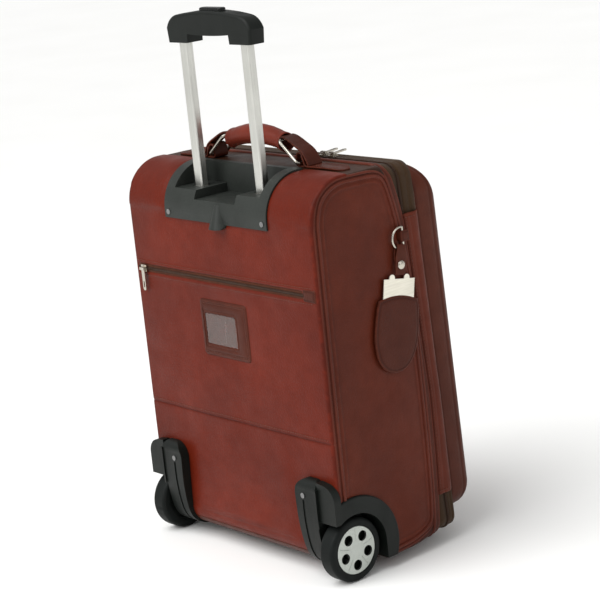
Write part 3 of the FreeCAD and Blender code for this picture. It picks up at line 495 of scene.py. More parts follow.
def even(path, step, closed=False):
    """The path resampled at an even spacing near step."""
    path = np.asarray(path, float)
    if closed:
        path = np.vstack([path, path[:1]])
    run = np.concatenate([[0], np.cumsum(np.linalg.norm(np.diff(path, axis=0), axis=1))])
    count = max(2, int(round(run[-1] / step)) + 1)
    at = np.linspace(0, run[-1], count)
    if closed:
        at = at[:-1]
    return np.stack([np.interp(at, run, path[:, k]) for k in range(path.shape[1])], axis=1)


def smoothed(path, times):
    """A closed path with its corners eased."""
    for _ in range(times):
        path = (np.roll(path, 1, 0) + 2 * path + np.roll(path, -1, 0)) / 4
    return path


def bead(name, path, radius, side, closed=False):
    """A round leather piping along a path; side is a direction never along the path."""
    ring = 10
    path = np.asarray(path, float)
    if closed:
        ahead = np.roll(path, -1, 0) - np.roll(path, 1, 0)
    else:
        ahead = np.gradient(path, axis=0)
    ahead = unit(ahead)
    across = unit(np.cross(ahead, np.broadcast_to(np.asarray(side, float), path.shape)))
    up = np.cross(across, ahead)
    angles = np.linspace(0, 2 * math.pi, ring, endpoint=False)
    points = (
        path[:, None]
        + across[:, None] * (np.cos(angles) * radius)[:, None]
        + up[:, None] * (np.sin(angles) * radius)[:, None]
    )
    if closed:
        points = np.concatenate([points, points[:1]])
    faces = grid_faces(len(points), ring, True)
    if not closed:
        faces.append(tuple(range(ring))[::-1])
        last = (len(points) - 1) * ring
        faces.append(tuple(range(last, last + ring)))
    return add_mesh(name, points, faces, PIPING)


def scatter(template, faces, origins, along, out, sizes):
    """Copies of a small shape: its x follows along, its z follows out."""
    along = unit(along)
    out = unit(out - (out * along).sum(1, keepdims=True) * along)
    third = np.cross(out, along)
    template = np.asarray(template, float)
    points = (
        origins[:, None]
        + along[:, None] * (template[:, 0] * sizes[0])[None, :, None]
        + third[:, None] * (template[:, 1] * sizes[1])[None, :, None]
        + out[:, None] * (template[:, 2] * sizes[2])[None, :, None]
    )
    count = len(template)
    every = [tuple(v + i * count for v in face) for i in range(len(origins)) for face in faces]
    return points.reshape(-1, 3), every


def grain_of_rice():
    """A slim capsule for one stitch."""
    ring = 6
    rows = [(-0.42, 0.75), (0.0, 1.0), (0.42, 0.75)]
    points = [(-0.5, 0, 0)]
    for x, r in rows:
        for k in range(ring):
            angle = 2 * math.pi * k / ring
            points.append((x, r * math.cos(angle), r * math.sin(angle)))
    points.append((0.5, 0, 0))
    faces = [(0, 1 + (k + 1) % ring, 1 + k) for k in range(ring)]
    faces += grid_faces(len(rows), ring, True, 1)
    last = 1 + (len(rows) - 1) * ring
    tip = len(points) - 1
    faces += [(tip, last + k, last + (k + 1) % ring) for k in range(ring)]
    return points, faces


RICE = grain_of_rice()
FRONTWARD = np.array([0, 1.0, 0])
BACKWARD = np.array([0, -1.0, 0])
UPWARD = np.array([0, 0, 1.0])


def stitches(name, runs, body, pitch=4.4, length=3.3):
    """Sewing along several runs, each a path with its outward directions."""
    all_points, all_faces = [], []
    count = 0
    for path, out in runs:
        both = even(np.hstack([path, np.broadcast_to(out, np.shape(path))]), pitch)
        where, outward = both[:, :3], unit(both[:, 3:])
        ahead = np.gradient(where, axis=0)
        points, faces = scatter(*RICE, where + outward * 0.15, ahead, outward, (length, 0.42, 0.5))
        all_points.append(points)
        all_faces += [tuple(v + count for v in face) for face in faces]
        count += len(points)
    piece(add_mesh(name, np.vstack(all_points), all_faces, THREAD), body, "leather")


TOOTH = (
    [(-0.5, -0.5, 0), (0.5, -0.5, 0), (0.5, 0.5, 0), (-0.5, 0.5, 0)]
    + [(-0.34, -0.42, 1), (0.34, -0.42, 1), (0.34, 0.42, 1), (-0.34, 0.42, 1)],
    [(3, 2, 1, 0), (4, 5, 6, 7), (0, 1, 5, 4), (1, 2, 6, 5), (2, 3, 7, 6), (3, 0, 4, 7)],
)


def teeth(name, path, out, shift, second, body, pitch=2.6):
    """One side's row of a zip, moved across it by shift; the second row fills the gaps."""
    both = even(np.hstack([path, out]), pitch / 2)[int(second) :: 2]
    where = both[:, :3] + np.asarray(shift, float)
    ahead = np.gradient(where, axis=0)
    points, faces = scatter(*TOOTH, where, ahead, both[:, 3:], (1.5, 2.6, 1.3))
    piece(add_mesh(name, points, faces, COIL), body, "zip_fabric")


# ---- loops round the case, seen from the front ----
LOOP_PARTS = (60, 14, 96)


def loop(half, low, high, radius):
    """A rounded rectangle in x and z with its outward directions, from the bottom's middle."""
    across, bend, upright = LOOP_PARTS
    turns = np.linspace(0, math.pi / 2, bend, endpoint=False)
    run = np.linspace(0, 1, across, endpoint=False)[:, None]
    rise = np.linspace(0, 1, upright, endpoint=False)[:, None]
    r = radius
    corners = [(half - r, low + r, -90), (half - r, high - r, 0)]
    corners += [(-half + r, high - r, 90), (-half + r, low + r, 180)]
    straights = [
        ((half, low + r), (half, high - r), rise),
        ((half - r, high), (-half + r, high), run),
        ((-half, high - r), (-half, low + r), rise),
        ((-half + r, low), (half - r, low), run),
    ]
    points, normals = [], []
    for (cx, cz, start), (a, b, share) in zip(corners, straights):
        angle = math.radians(start) + turns
        ray = np.stack([np.cos(angle), np.sin(angle)], 1)
        points.append(np.array([cx, cz]) + r * ray)
        normals.append(ray)
        points.append(np.array(a) + (np.array(b) - np.array(a)) * share)
        final = math.radians(start + 90)
        normals.append(np.tile([math.cos(final), math.sin(final)], (len(share), 1)))
    return np.vstack(points), np.vstack(normals)


def body_loop(inset):
    return loop(HALF - inset, BASE + inset, TOP - inset, 21.0 - inset)


def lid_loop(inset):
    return loop(LID_HALF - inset, LID_LOW + inset, LID_HIGH - inset, LID_R - inset)


def at_depth(xz, depth):
    return points_at(xz[:, 0], depth, xz[:, 1])


def from_seam(xz, level):
    """A loop's points at a level in front of the straight seam."""
    return at_depth(xz, seam_depth(xz[:, 1]) + level)


def band(name, rows, material, thick=1.6, hidden=None):
    """A band round the case; rows are (loop points, depth at each)."""
    points = np.stack([at_depth(xz, depth) for xz, depth in rows])
    faces = grid_faces(len(rows), points.shape[1], True)
    if hidden:
        faces = without(points, faces, hidden)
    return add_mesh(name, points, faces, material, thick=thick)


def opened(path, keep):
    """A closed path cut open where keep is false."""
    first = int(np.argmax(keep & ~np.roll(keep, 1)))
    return np.roll(path, -first, 0)[np.roll(keep, -first)]


def at_hinge(x, d, z):
    """The stretch of the right edge where the lid is hinged and has no zip."""
    return (x > 170) & (z > FLAP_LOW + 8) & (z < FLAP_HIGH - 8)


# ---- the leather body ----
def arc_stations(centre_d, centre_z, radius, start, end, count):
    angle = np.radians(np.linspace(start, end, count))
    nd, nz = np.cos(angle), np.sin(angle)
    return np.stack([centre_d + radius * nd, centre_z + radius * nz, nd, nz], 1)


def straight_stations(depths, heights, nd, nz):
    depths, heights = np.broadcast_arrays(np.asarray(depths, float), np.asarray(heights, float))
    ones = np.ones(len(depths))
    return np.stack([depths, heights, nd * ones, nz * ones], 1)


def edge_radius(depth, nz):
    """How far the edge between the wrap and a side panel is rounded."""
    over = np.interp(depth, [52, 98, 108, 116, 124], [3, 4, 6, 10, 19])
    under = np.interp(depth, [90, 115, 133, 150], [4, 6, 11, 20])
    return np.where(nz > 0.5, over, np.where(nz < -0.5, under, 4.5))


def edge_drop(x, radius):
    into = np.clip(np.abs(x) - (HALF - radius), 0, radius)
    return radius - np.sqrt(np.maximum(radius**2 - into**2, 0))


def unevenness(x, z, size, seed):
    """Slow, repeatable waves, as hand-stretched leather has."""
    flat_x, flat_z = np.broadcast_arrays(x, z)
    places = zip(flat_x.ravel() / size, flat_z.ravel() / size)
    return np.array([noise.noise(Vector((a, b, seed))) for a, b in places]).reshape(flat_x.shape)


def back_relief(x, z):
    """Height of the back leather over the flat back face."""
    from_edge = np.clip(1 - (np.abs(x) / 176.0) ** 6, 0, 1)
    beside_tray = np.maximum(soft_step(np.abs(x), 98, 125), 1 - soft_step(z, 395, 428))
    above_wheels = np.maximum(soft_step(z, 136, 175), 1 - soft_step(np.abs(x), 85, 112))
    calm = from_edge * beside_tray * above_wheels
    relief = calm * (1.5 + 1.2 * unevenness(x, z, 90.0, 3.0))
    below = 1 - soft_step(z, LOWER_SEAM_Z - 0.8, LOWER_SEAM_Z + 0.8)
    relief += -1.1 * below * from_edge + 1.2 * below * hump(z, 130, 40) * calm
    relief += -0.9 * hump(z, LOWER_SEAM_Z, 1.4)
    from_zip = np.abs(z - POCKET_ZIP_Z)
    in_zip = (1 - soft_step(np.abs(x - 10), 160, 166)) * (1 - soft_step(from_zip, 5.0, 6.2))
    lips = (1 - soft_step(np.abs(x - 10), 160, 168)) * hump(from_zip, 7.6, 1.6)
    relief += 0.8 * lips - (relief + 0.9) * in_zip
    frame_zone = 1 - soft_step(np.abs(x - 4), 47, 56)
    frame_zone = frame_zone * (1 - soft_step(np.abs(z - 296.5), 37, 46))
    return relief * (1 - frame_zone) - 0.1 * frame_zone


BODY_COLUMNS = np.array(
    [0, 12, 25, 37, 50, 62, 74, RECESS_HALF, 93, 100, 106, 113, 121, 130, 139, WELL_X, 154, 160]
    + [164, 167.5, 170.5, 173, 175, 176.7, 178, 179, 179.6, HALF]
)
BODY_COLUMNS = np.concatenate([-BODY_COLUMNS[:0:-1], BODY_COLUMNS])


def wrap_points(stations, relief):
    """The wrap's surface over the stations, across the whole width."""
    x = BODY_COLUMNS[None, :]
    d, z, nd, nz = (stations[:, k][:, None] for k in range(4))
    lift = relief(x, d, z) - edge_drop(x, edge_radius(d, nz))
    return points_at(x, d + nd * lift, z + nz * lift)


def seam_mark(grid):
    """How near each point is to the side seams, for painted shade and creasing."""
    return soft_step(np.abs(grid[..., 0]), 172, 180)


def back_rows():
    fine = [173, 175.5, 177.2, 178.2, 178.7, 179.2, 180.2, 182, 185]
    zipped = [350, 351.5, 353, 354, 355, 357, 360, 363, 365, 366, 367, 368.5, 370, 373]
    plain = [44, 52, 60, 68, 76, 85, 95, 104, 112, 120, 129, 138, 147, 156, 165]
    plain += [193, 202, 211, 220, 229, 238, 247, 255, 260, 266, 275, 284, 293, 302, 311, 320]
    plain += [327, 332, 338, 344, 381, 390, 399, 408, 417, 426, 434, 441.9]
    return np.array(sorted(fine + zipped + plain))


def make_back():
    heel = arc_stations(HEEL_R, BASE + HEEL_R, HEEL_R, -150, -178, 6)
    back = straight_stations(0.0, back_rows(), -1, 0)
    crown = arc_stations(CROWN_R, TOP - CROWN_R, CROWN_R, 179, 90, 22)
    lap = straight_stations([54, 57.5, 60, 61.3, 61.9], TOP, 0, 1)
    stations = np.vstack([heel, back, crown, lap])

    def relief(x, d, z):
        on_back = (d < 1) & (z > 43) & (z < 442.5)
        top_calm = soft_step(np.abs(x), 98, 120) * np.clip(1 - (np.abs(x) / 176) ** 6, 0, 1)
        over = 0.6 + top_calm * (0.9 + 1.2 * unevenness(x, d + z, 70.0, 8.0))
        under_tray = (np.abs(x) < TRAY_HALF) & (z > TRAY_LOW)
        raised = np.where(on_back, back_relief(x, z), np.where(z > 400, over, -0.4))
        end = np.where((d > 61.5) & (z > 480), -0.9, 0)
        return np.where(under_tray, np.minimum(raised, -0.8), raised) + end

    grid = wrap_points(stations, relief)

    def hidden(x, d, z):
        in_recess = (np.abs(x) < RECESS_HALF) & (z > RECESS_LOW) & (d < RECESS_DEPTH)
        in_well = (np.abs(x) > WELL_X) & (z < WELL_TOP)
        return in_recess | in_well

    faces = without(grid, grid_faces(len(stations), len(BODY_COLUMNS)), hidden)
    # Painted highlight: lighter lines along the wrap's side edges and across the top where the lap
    # ends, over some edge wear; painted shade darkens the side seams and the lower seam's groove.
    lap_end_highlight = soft_step(grid[..., 1], 60, 62) * (grid[..., 2] > 480)
    seam = np.maximum(seam_mark(grid), hump(grid[..., 2], LOWER_SEAM_Z, 2.0))
    wear_and_highlight = hump(np.abs(grid[..., 0]), 177, 2.2) * 0.6 + lap_end_highlight
    obj = add_mesh("back_leather", grid, faces, CALF, {"seam": seam, "wear_and_highlight": wear_and_highlight}, thick=1.5)
    piece(obj, "case_body", "leather", "back_panel")


def make_top():
    shares = np.array([0, 0.06, 0.14, 0.24, 0.36, 0.48, 0.6, 0.72, 0.82, 0.9, 0.96, 1.0])
    x = BODY_COLUMNS[None, :]
    depth = np.repeat(59.0 + shares[:, None] * 57.0, len(BODY_COLUMNS), 1)
    for _ in range(4):
        drop = edge_drop(x, edge_radius(depth, 1))
        depth = 59.0 + shares[:, None] * (front_edge(TOP - drop) - 59.0)
    pillow = 1.3 * np.sin(math.pi * shares[:, None]) * np.clip(1 - (np.abs(x) / 172) ** 4, 0, 1)
    pillow = pillow + 0.5 * unevenness(x, depth, 55.0, 5.0)
    under_handle = (np.abs(x) > 70) & (np.abs(x) < 165)
    pillow = np.where(under_handle, np.minimum(pillow, 0.0), pillow)
    grid = points_at(x, depth, TOP - drop + pillow - 0.5)
    faces = grid_faces(len(shares), len(BODY_COLUMNS))
    # Painted shade: darker along the side seams and along the line where the back's lap ends.
    seam = np.maximum(seam_mark(grid), hump(grid[..., 1], 61, 2.0))
    obj = add_mesh("top_leather", grid, faces, CALF_TOP, {"seam": seam}, thick=1.5)
    piece(obj, "case_body", "leather", "top_panel")


def make_bottom():
    depths = np.concatenate([np.linspace(149, 76, 16), [WELL_DEPTH, 64, 56, 47, 38]])
    front = straight_stations(depths, BASE, 0, -1)
    heel = arc_stations(HEEL_R, BASE + HEEL_R, HEEL_R, -90, -152, 12)
    stations = np.vstack([front, heel])
    grid = wrap_points(stations, lambda x, d, z: 0 * x * d - 0.2)
    faces = grid_faces(len(stations), len(BODY_COLUMNS))
    faces = without(grid, faces, lambda x, d, z: (np.abs(x) > WELL_X) & (d < WELL_DEPTH))
    # Painted shade: darker along the side seams.
    obj = add_mesh("bottom_leather", grid, faces, CALF_DARK, {"seam": seam_mark(grid)}, thick=1.5)
    piece(obj, "case_body", "leather", "bottom_panel")


def side_outline():
    """The side panel's edge in depth and height, from the bottom's front corner."""
    under = straight_stations(np.linspace(147, 34, 40), BASE, 0, -1)
    heel = arc_stations(HEEL_R, BASE + HEEL_R, HEEL_R, -90, -180, 14)
    back = straight_stations(0.0, np.linspace(50, 436, 100), -1, 0)
    crown = arc_stations(CROWN_R, TOP - CROWN_R, CROWN_R, 180, 90, 24)
    over = straight_stations(np.linspace(55, 118, 24), TOP, 0, 1)
    wrap = np.vstack([under, heel, back, crown, over])
    radius = edge_radius(wrap[:, 0], wrap[:, 3])[:, None]
    edge = wrap[:, :2] - wrap[:, 2:] * radius
    heights = np.linspace(470, 40, 110)
    front = np.stack([front_edge(heights), heights], 1)
    return smoothed(even(np.vstack([edge, front]), 4.0, True), 3)


def quartered(outline, corners, counts):
    """A closed outline from its first corner, with even counts along its four sides."""
    outline = np.asarray(outline, float)
    at = [int(np.argmin(np.linalg.norm(outline - corner, axis=1))) for corner in corners]
    sides = []
    for i in range(4):
        run = np.roll(outline, -at[i], 0)[: (at[(i + 1) % 4] - at[i]) % len(outline) + 1]
        length = np.linalg.norm(np.diff(run, axis=0), axis=1).sum()
        sides.append(even(run, length / counts[i % 2])[:-1])
    return np.vstack(sides)


def filled(ring, counts):
    """A grid spanning a ring of four sides."""
    a, b = counts
    closed = np.vstack([ring, ring[:1]])
    right, top = closed[: a + 1], closed[a : a + b + 1][::-1]
    left, bottom = closed[a + b : 2 * a + b + 1][::-1], closed[2 * a + b :]
    v = np.linspace(0, 1, a + 1)[:, None, None]
    u = np.linspace(0, 1, b + 1)[None, :, None]
    sides = (1 - u) * left[:, None] + u * right[:, None]
    ends = (1 - v) * bottom[None] + v * top[None]
    low_corners = (1 - u) * bottom[0] + u * bottom[-1]
    high_corners = (1 - u) * top[0] + u * top[-1]
    return sides + ends - ((1 - v) * low_corners + v * high_corners)


def distance_in(points, outline):
    """How far each point lies from the closed outline."""
    start, way = outline, np.roll(outline, -1, 0) - outline
    nearest = np.full(len(points), np.inf)
    for a, w in zip(start, way):
        share = np.clip(((points - a) @ w) / max(w @ w, 1e-12), 0, 1)
        gap = np.linalg.norm(points - a - share[:, None] * w, axis=1)
        nearest = np.minimum(nearest, gap)
    return nearest


def pillow(outline, spine, inward, height, counts):
    """A soft face in a closed outline: plane points, heights, distances from the edge, faces.

    Rings step in from the outline towards the spine, and a grid fills the last ring.
    """
    (a0, b0), (a1, b1) = spine
    along = np.array([a1 - a0, b1 - b0], float)
    share = np.clip(((outline - [a0, b0]) @ along) / max(along @ along, 1e-9), 0, 1)
    target = np.array([a0, b0]) + share[:, None] * along
    reach = np.linalg.norm(target - outline, axis=1)
    rings = [outline + (target - outline) * np.minimum(s / reach, 1.0)[:, None] for s in inward]
    middle = filled(rings[-1], counts)
    faces = grid_faces(len(rings), len(outline), True)
    faces += grid_faces(*middle.shape[:2], offset=len(rings) * len(outline))
    plane = np.vstack(rings + [middle.reshape(-1, 2)])
    distance = distance_in(plane, outline)
    return plane, height(distance, plane[:, 0], plane[:, 1]), distance, faces


SIDE_RINGS = [0, 1.5, 3.2, 4.8, 6.2, 7.6, 9.0, 10.0, 11.0, 12.0, 13.2, 15, 17.5, 21]
SIDE_COUNTS = (112, 34)


def from_axle(depth, z):
    return np.hypot(depth - WHEEL[0], z - WHEEL[1])


def side_relief(distance, depth, z):
    calm = soft_step(from_axle(depth, z), 70, 105)
    body = 3.1 * swell_from(distance, 20.0) * calm
    welt = 0.7 * hump(distance, 11.0, 1.5) * (0.25 + 0.75 * calm)
    slow = 1.3 * unevenness(depth, z, 75.0, 11.0) * soft_step(distance, 8, 40) * calm
    pucker = 0.22 * np.sin(z / 2.9 + depth / 3.3) * hump(distance, 15, 5) * calm
    return body + welt + slow + pucker - 0.5


def shifted(outline, distance):
    """A closed outline moved outwards in its own plane."""
    way = unit(np.roll(outline, -1, 0) - np.roll(outline, 1, 0))
    across = np.stack([way[:, 1], -way[:, 0]], 1)
    middle = outline.mean(0)
    sign = np.sign(((outline - middle) * across).sum())
    return outline + sign * across * distance


def make_sides():
    corners = [(8, 22), (12, 482), (112, 488), (148, 20)]
    outline = quartered(side_outline(), corners, SIDE_COUNTS)
    spine = ((76, 120), (76, 400))
    plane, height, distance, faces = pillow(outline, spine, SIDE_RINGS, side_relief, SIDE_COUNTS)
    gap = from_axle(*plane.T)
    whole = [face for face in faces if gap[list(face)].mean() > 56]
    for side, name in ((-1, "left"), (1, "right")):
        points = points_at(side * (HALF + height), *plane.T)
        # Painted shade: darker at the panel's edge and just inside its welt; painted highlight with
        # some wear: lighter along the welt's crest.
        marks = {"seam": hump(distance, 0, 3.0) + 0.5 * hump(distance, 13.4, 1.5)}
        marks["wear_and_highlight"] = hump(distance, 11.0, 1.2) * 0.5
        obj = add_mesh("side_leather_" + name, points, whole, CALF_SIDE, marks, thick=1.5)
        piece(obj, "case_body", "leather", "side_panel_" + name)
        for title, move, x, radius in (("edge", 0.9, -1.2, 2.1), ("panel", -4.4, 0.7, 2.2)):
            path = shifted(outline, move)
            path = even(opened(path, from_axle(*path.T) > 60), 4.0)
            path = points_at(side * (HALF + x), *path.T)
            cord = bead("side_piping_%s_%s" % (title, name), path, radius, (side, 0, 0))
            piece(cord, "case_body", "leather", "body_piping")


def make_front_strip():
    """The narrow leather strip between the two pipings of the body's front edge."""
    rows = []
    profile = ((1.6, -0.12), (-0.2, 0.1), (-0.6, 0.35), (-0.5, 0.65), (0.2, 0.9), (2.0, 1.02))
    for inset, share in profile:
        xz, _ = body_loop(inset)
        first, last = front_edge(xz[:, 1]), strip_edge(xz[:, 1])
        rows.append((xz, first + (last - first) * share))
    piece(band("front_strip_leather", rows, CALF_DARK), "case_body", "leather")
    pipings = (("inner", -0.3, front_edge, 2.3), ("outer", 1.0, strip_edge, 1.9))
    for name, inset, edge, radius in pipings:
        xz, _ = body_loop(inset)
        path = at_depth(xz, edge(xz[:, 1]))
        piece(bead("front_piping_" + name, path, radius, (0, 1, 0), True), "case_body", "leather")


def make_zip_band():
    def row(inset, level):
        xz, _ = body_loop(inset)
        return xz, seam_depth(xz[:, 1]) + level

    xz, _ = body_loop(2.4)
    start = (xz, strip_edge(xz[:, 1]) - 1.5)
    xz, _ = body_loop(2.9)
    second = (xz, np.maximum(strip_edge(xz[:, 1]), seam_depth(xz[:, 1]) + 6))
    body_tape = band("body_zip_tape_cloth", [start, second, row(3.0, 13.9)], TAPE_BROWN, 1.0)
    piece(body_tape, "case_body", "zip_fabric", "body_zip_tape")
    rows = []
    for inset, share in ((3.0, 0), (2.8, 0.2), (3.0, 0.42), (3.7, 0.5), (3.1, 0.58), (3.2, 0.78)):
        xz, _ = body_loop(inset)
        rows.append((xz, seam_depth(xz[:, 1]) + 16.1 + share * (lid_level(xz[:, 1]) - 16.1)))
    for inset, level in ((-4.5, -2.4), (-0.6, 0.4)):
        xz, _ = lid_loop(inset)
        rows.append((xz, seam_depth(xz[:, 1]) + lid_level(xz[:, 1]) + level))
    lid_tape = band("lid_zip_tape_cloth", rows, TAPE_BROWN, 1.0, at_hinge)
    piece(lid_tape, "lid", "zip_fabric", "lid_zip_tape")
    xz, normals = body_loop(2.5)
    path = from_seam(xz, ZIP_LEVEL)
    both = opened(np.hstack([path, at_depth(normals, 0)]), ~at_hinge(*path.T))
    path, out = both[:, :3], both[:, 3:]
    teeth("body_zip_teeth", path, out, (0, -0.75, 0), False, "case_body")
    teeth("lid_zip_teeth", path, out, (0, 0.75, 0), True, "lid")


def upright_strip(name, side, first, last, lift, bend):
    """A leather strip standing over the zip, crowned, and bent in to the lid's edge."""
    ends = np.array([0, 0.8, 2.5])
    middle = np.linspace(FLAP_LOW + 6, FLAP_HIGH - 6, 60)
    heights = np.concatenate([FLAP_LOW + ends, middle, FLAP_HIGH - ends[::-1]])
    shares = np.array([0, 0.02, 0.06, 0.18, 0.3, 0.36, 0.42, 0.55, 0.7, 0.82, 0.94, 0.98, 1.0])
    z = np.repeat(heights[:, None], len(shares), 1)
    depth = first(z) + (last(z) - first(z)) * shares[None, :]
    edge = np.minimum(shares, 1 - shares)[None, :] * 26
    end = np.minimum(z - FLAP_LOW, FLAP_HIGH - z)
    crown = lift + 0.8 * np.clip(edge / 3, 0, 1) ** 0.5 * np.clip(end / 2.5, 0, 1) ** 0.5
    crown = crown - 0.5 * hump(shares, 0.36, 0.05)[None, :]
    crown = crown + 0.4 * unevenness(depth, z, 40.0, 2.0)
    crown = crown - bend * np.clip((shares - 0.62) / 0.38, 0, 1)[None, :] ** 2
    grid = points_at(side * (HALF + crown), depth, z)
    faces = grid_faces(len(heights), len(shares))
    # Painted shade: darker along the strip's long edges; its ends lighter, as wear with painted
    # highlight.
    marks = {"seam": hump(edge, 0, 1.5) + 0 * z, "wear_and_highlight": hump(end, 1, 1.5) * 0.8}
    return add_mesh(name, grid, faces, CALF_SIDE, marks, thick=1.8)


def make_storm_flap():
    def first(z):
        return strip_edge(z) + 1.6

    def last(z):
        return seam_depth(z) + lid_level(z) - 2.0

    flap = upright_strip("storm_flap_leather", -1, first, last, 0.3, 5.5)
    piece(flap, "case_body", "leather", "zip_flaps")
    x = -(HALF + 2.1)
    out = np.array([-1.0, 0, 0])
    runs = []
    for z in (FLAP_HIGH - 4.5, FLAP_LOW + 4.5):
        depths = np.linspace(first(z) + 2, first(z) + 15, 5)
        runs.append((points_at(x, depths, z), out))
    heights = np.linspace(FLAP_LOW + 6, FLAP_HIGH - 6, 80)
    depths = first(heights) + (last(heights) - first(heights)) * 0.08
    runs.append((points_at(x + 0.3, depths, heights), out))
    stitches("storm_flap_stitches", runs, "case_body")

    def sewn_edge(z):
        return seam_depth(z) + lid_level(z) + 0.5

    hinge = upright_strip("hinge_leather", 1, first, sewn_edge, -0.6, 9.0)
    slope = math.atan(SEAM_TAN)
    across = np.array([0.0, math.cos(slope), math.sin(slope)])
    fold = np.array([HALF, seam_depth(250) + ZIP_LEVEL, 250])
    near, far = place([fold - 3.5 * across, fold + 3.5 * across])
    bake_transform(hinge)


# ---- the lid ----
def lid_front_ring(share):
    """Between the lid's edge loop (0) and the flat of its front (1)."""
    outer, _ = lid_loop(0)
    inner, _ = loop(LID_HALF - 13, LID_LOW + 20, LID_HIGH - 44, 24.0)
    return outer + (inner - outer) * share


def lid_shell_rows(shrink=0.0):
    """Rows of the lid's shell from its edge to the middle of its front."""
    edge, normals = lid_loop(0)
    start = lid_level(edge[:, 1])
    up = normals[:, 1]
    rise = np.where(up > 0, 13 + 18 * up**2, 13 + 5 * up**2)
    inner = lid_front_ring(1.0)
    face = lid_face(inner[:, 0], inner[:, 1]) - seam_depth(inner[:, 1])
    foot = face - rise
    rows = []
    for share in (0.0, 0.25, 0.45, 0.6, 0.75, 0.9, 1.0):
        level = start + np.maximum(foot - start, 0) * share
        xz = edge + normals * 0.9 * math.sin(math.pi * share)
        rows.append(from_seam(xz, level))
    base_level = np.maximum(foot, start)
    for turn in np.radians([9, 18, 27, 36, 45, 54, 63, 72, 80, 86]):
        xz = lid_front_ring(1 - math.cos(turn))
        level = base_level + (face - base_level) * math.sin(turn)
        rows.append(from_seam(xz, level))
    spine = np.clip(inner[:, 1], 150, 350)
    target = np.stack([np.zeros(len(spine)), spine], 1)
    for share in (0.0, 0.06, 0.14, 0.24, 0.36, 0.5, 0.65, 0.82, 1.0):
        xz = inner + (target - inner) * share
        swell = 0.9 * math.sin(math.pi * min(share * 2, 1) / 2)
        ripple = swell * unevenness(xz[:, 0], xz[:, 1], 80.0, 21.0)
        rows.append(at_depth(xz, lid_face(xz[:, 0], xz[:, 1]) + ripple))
    grid = np.stack(rows)
    if shrink:
        middle_z, half_height = 257.0, 225.0
        grid[..., 0] *= 1 - shrink / LID_HALF
        grid[..., 2] = middle_z + (grid[..., 2] - middle_z) * (1 - shrink / half_height)
        grid[..., 1] -= shrink * soft_step(np.arange(len(grid)), 0, 8)[:, None]
    return grid, normals


def make_lid():
    grid, normals = lid_shell_rows()
    foot = 6
    grid[foot, :, 0] -= 0.6 * normals[:, 0]
    grid[foot, :, 2] -= 0.6 * normals[:, 1]
    faces = grid_faces(len(grid), grid.shape[1], True)
    # Painted shade: darker at the lid's edge and in the groove at the foot of its padding.
    seam = np.zeros(grid.shape[:2])
    seam[foot] = 0.7
    seam[0] = 1.0
    obj = add_mesh("lid_leather", grid, faces, CALF_LID, {"seam": seam}, thick=1.6)
    piece(obj, "lid", "leather", "lid_panel", "lid_gusset")
    edge, _ = lid_loop(-0.3)
    path = from_seam(edge, lid_level(edge[:, 1]))
    piece(bead("lid_piping", path, 1.8, (0, 1, 0), True), "lid", "leather")


def on_lid_face(outline, lift):
    """Points at a height over the lid's front, for an outline in x and z."""
    x, z = outline.T
    return points_at(x, lid_face(x, z) + lift, z)


def make_front_pocket():
    outline, _ = loop(136.0, 66.0, 347.0, 22.0)
    counts = (64, 62)
    outline = quartered(outline, [(130, 72), (130, 341), (-130, 341), (-130, 72)], counts)
    rings = [0, 0, 0.6, 1.6, 3, 5, 7, 9, 11, 14, 18]

    def height(distance, x, z):
        slow = 0.9 * unevenness(x, z, 60.0, 31.0) * soft_step(distance, 6, 40)
        return 3.6 * swell_from(distance, 1.4) + 4.2 * swell_from(distance, 34.0) + slow

    plane, lift, distance, faces = pillow(outline, ((0, 190), (0, 225)), rings, height, counts)
    lift[: len(outline)] -= 2.0
    lift -= 0.9 * hump(distance, 9.0, 1.4)
    # Painted shade: darker at the pocket's edge and in the groove 9 mm inside it.
    marks = {"seam": hump(distance, 0, 2.5) + 0.6 * hump(distance, 9, 1.5)}
    obj = add_mesh("front_pocket_leather", on_lid_face(plane, lift), faces, CALF_LID, marks)
    piece(obj, "lid", "leather", "front_pocket")
    path = on_lid_face(outline, 0.9)
    piece(bead("front_pocket_piping", path, 1.6, (0, 1, 0), True), "lid", "leather")
    inner, _ = loop(130.5, 71.5, 341.5, 17.0)
    stitches("front_pocket_stitches", [(on_lid_face(inner, 4.35), FRONTWARD)], "lid")


def flat_zip(name, x0, x1, z, half_height, surface, body, node):
    """A straight zip lying on a face: two tapes with a ridge where they meet, and teeth."""
    columns = np.linspace(x0, x1, 90)
    rows = np.array([-1, -0.9, -0.5, -0.18, 0.0, 0.18, 0.5, 0.9, 1.0]) * half_height
    x, dz = np.meshgrid(columns, rows)
    lift = 0.5 * hump(dz, 0, 2.0) - 0.5 * (np.abs(dz) > half_height * 0.95)
    lift = lift + 0.25 * unevenness(x, dz, 16.0, 4.0)
    grid = points_at(x, surface(x, z + dz, lift), z + dz)
    faces = grid_faces(len(rows), len(columns))
    tape = add_mesh(name + "_tape_cloth", grid, faces, TAPE_RED, thick=0.8)
    piece(tape, body, "zip_fabric", node)
    way = surface(0.0, z, 1.0) - surface(0.0, z, 0.0)
    out = np.array([[0, float(np.sign(way)), 0]] * 90)
    for row, shift in (("upper", 0.75), ("lower", -0.75)):
        path = points_at(columns, surface(columns, z, 0.55), z)
        teeth(name + "_teeth_" + row, path, out, (0, 0, shift), shift > 0, body, pitch=2.2)


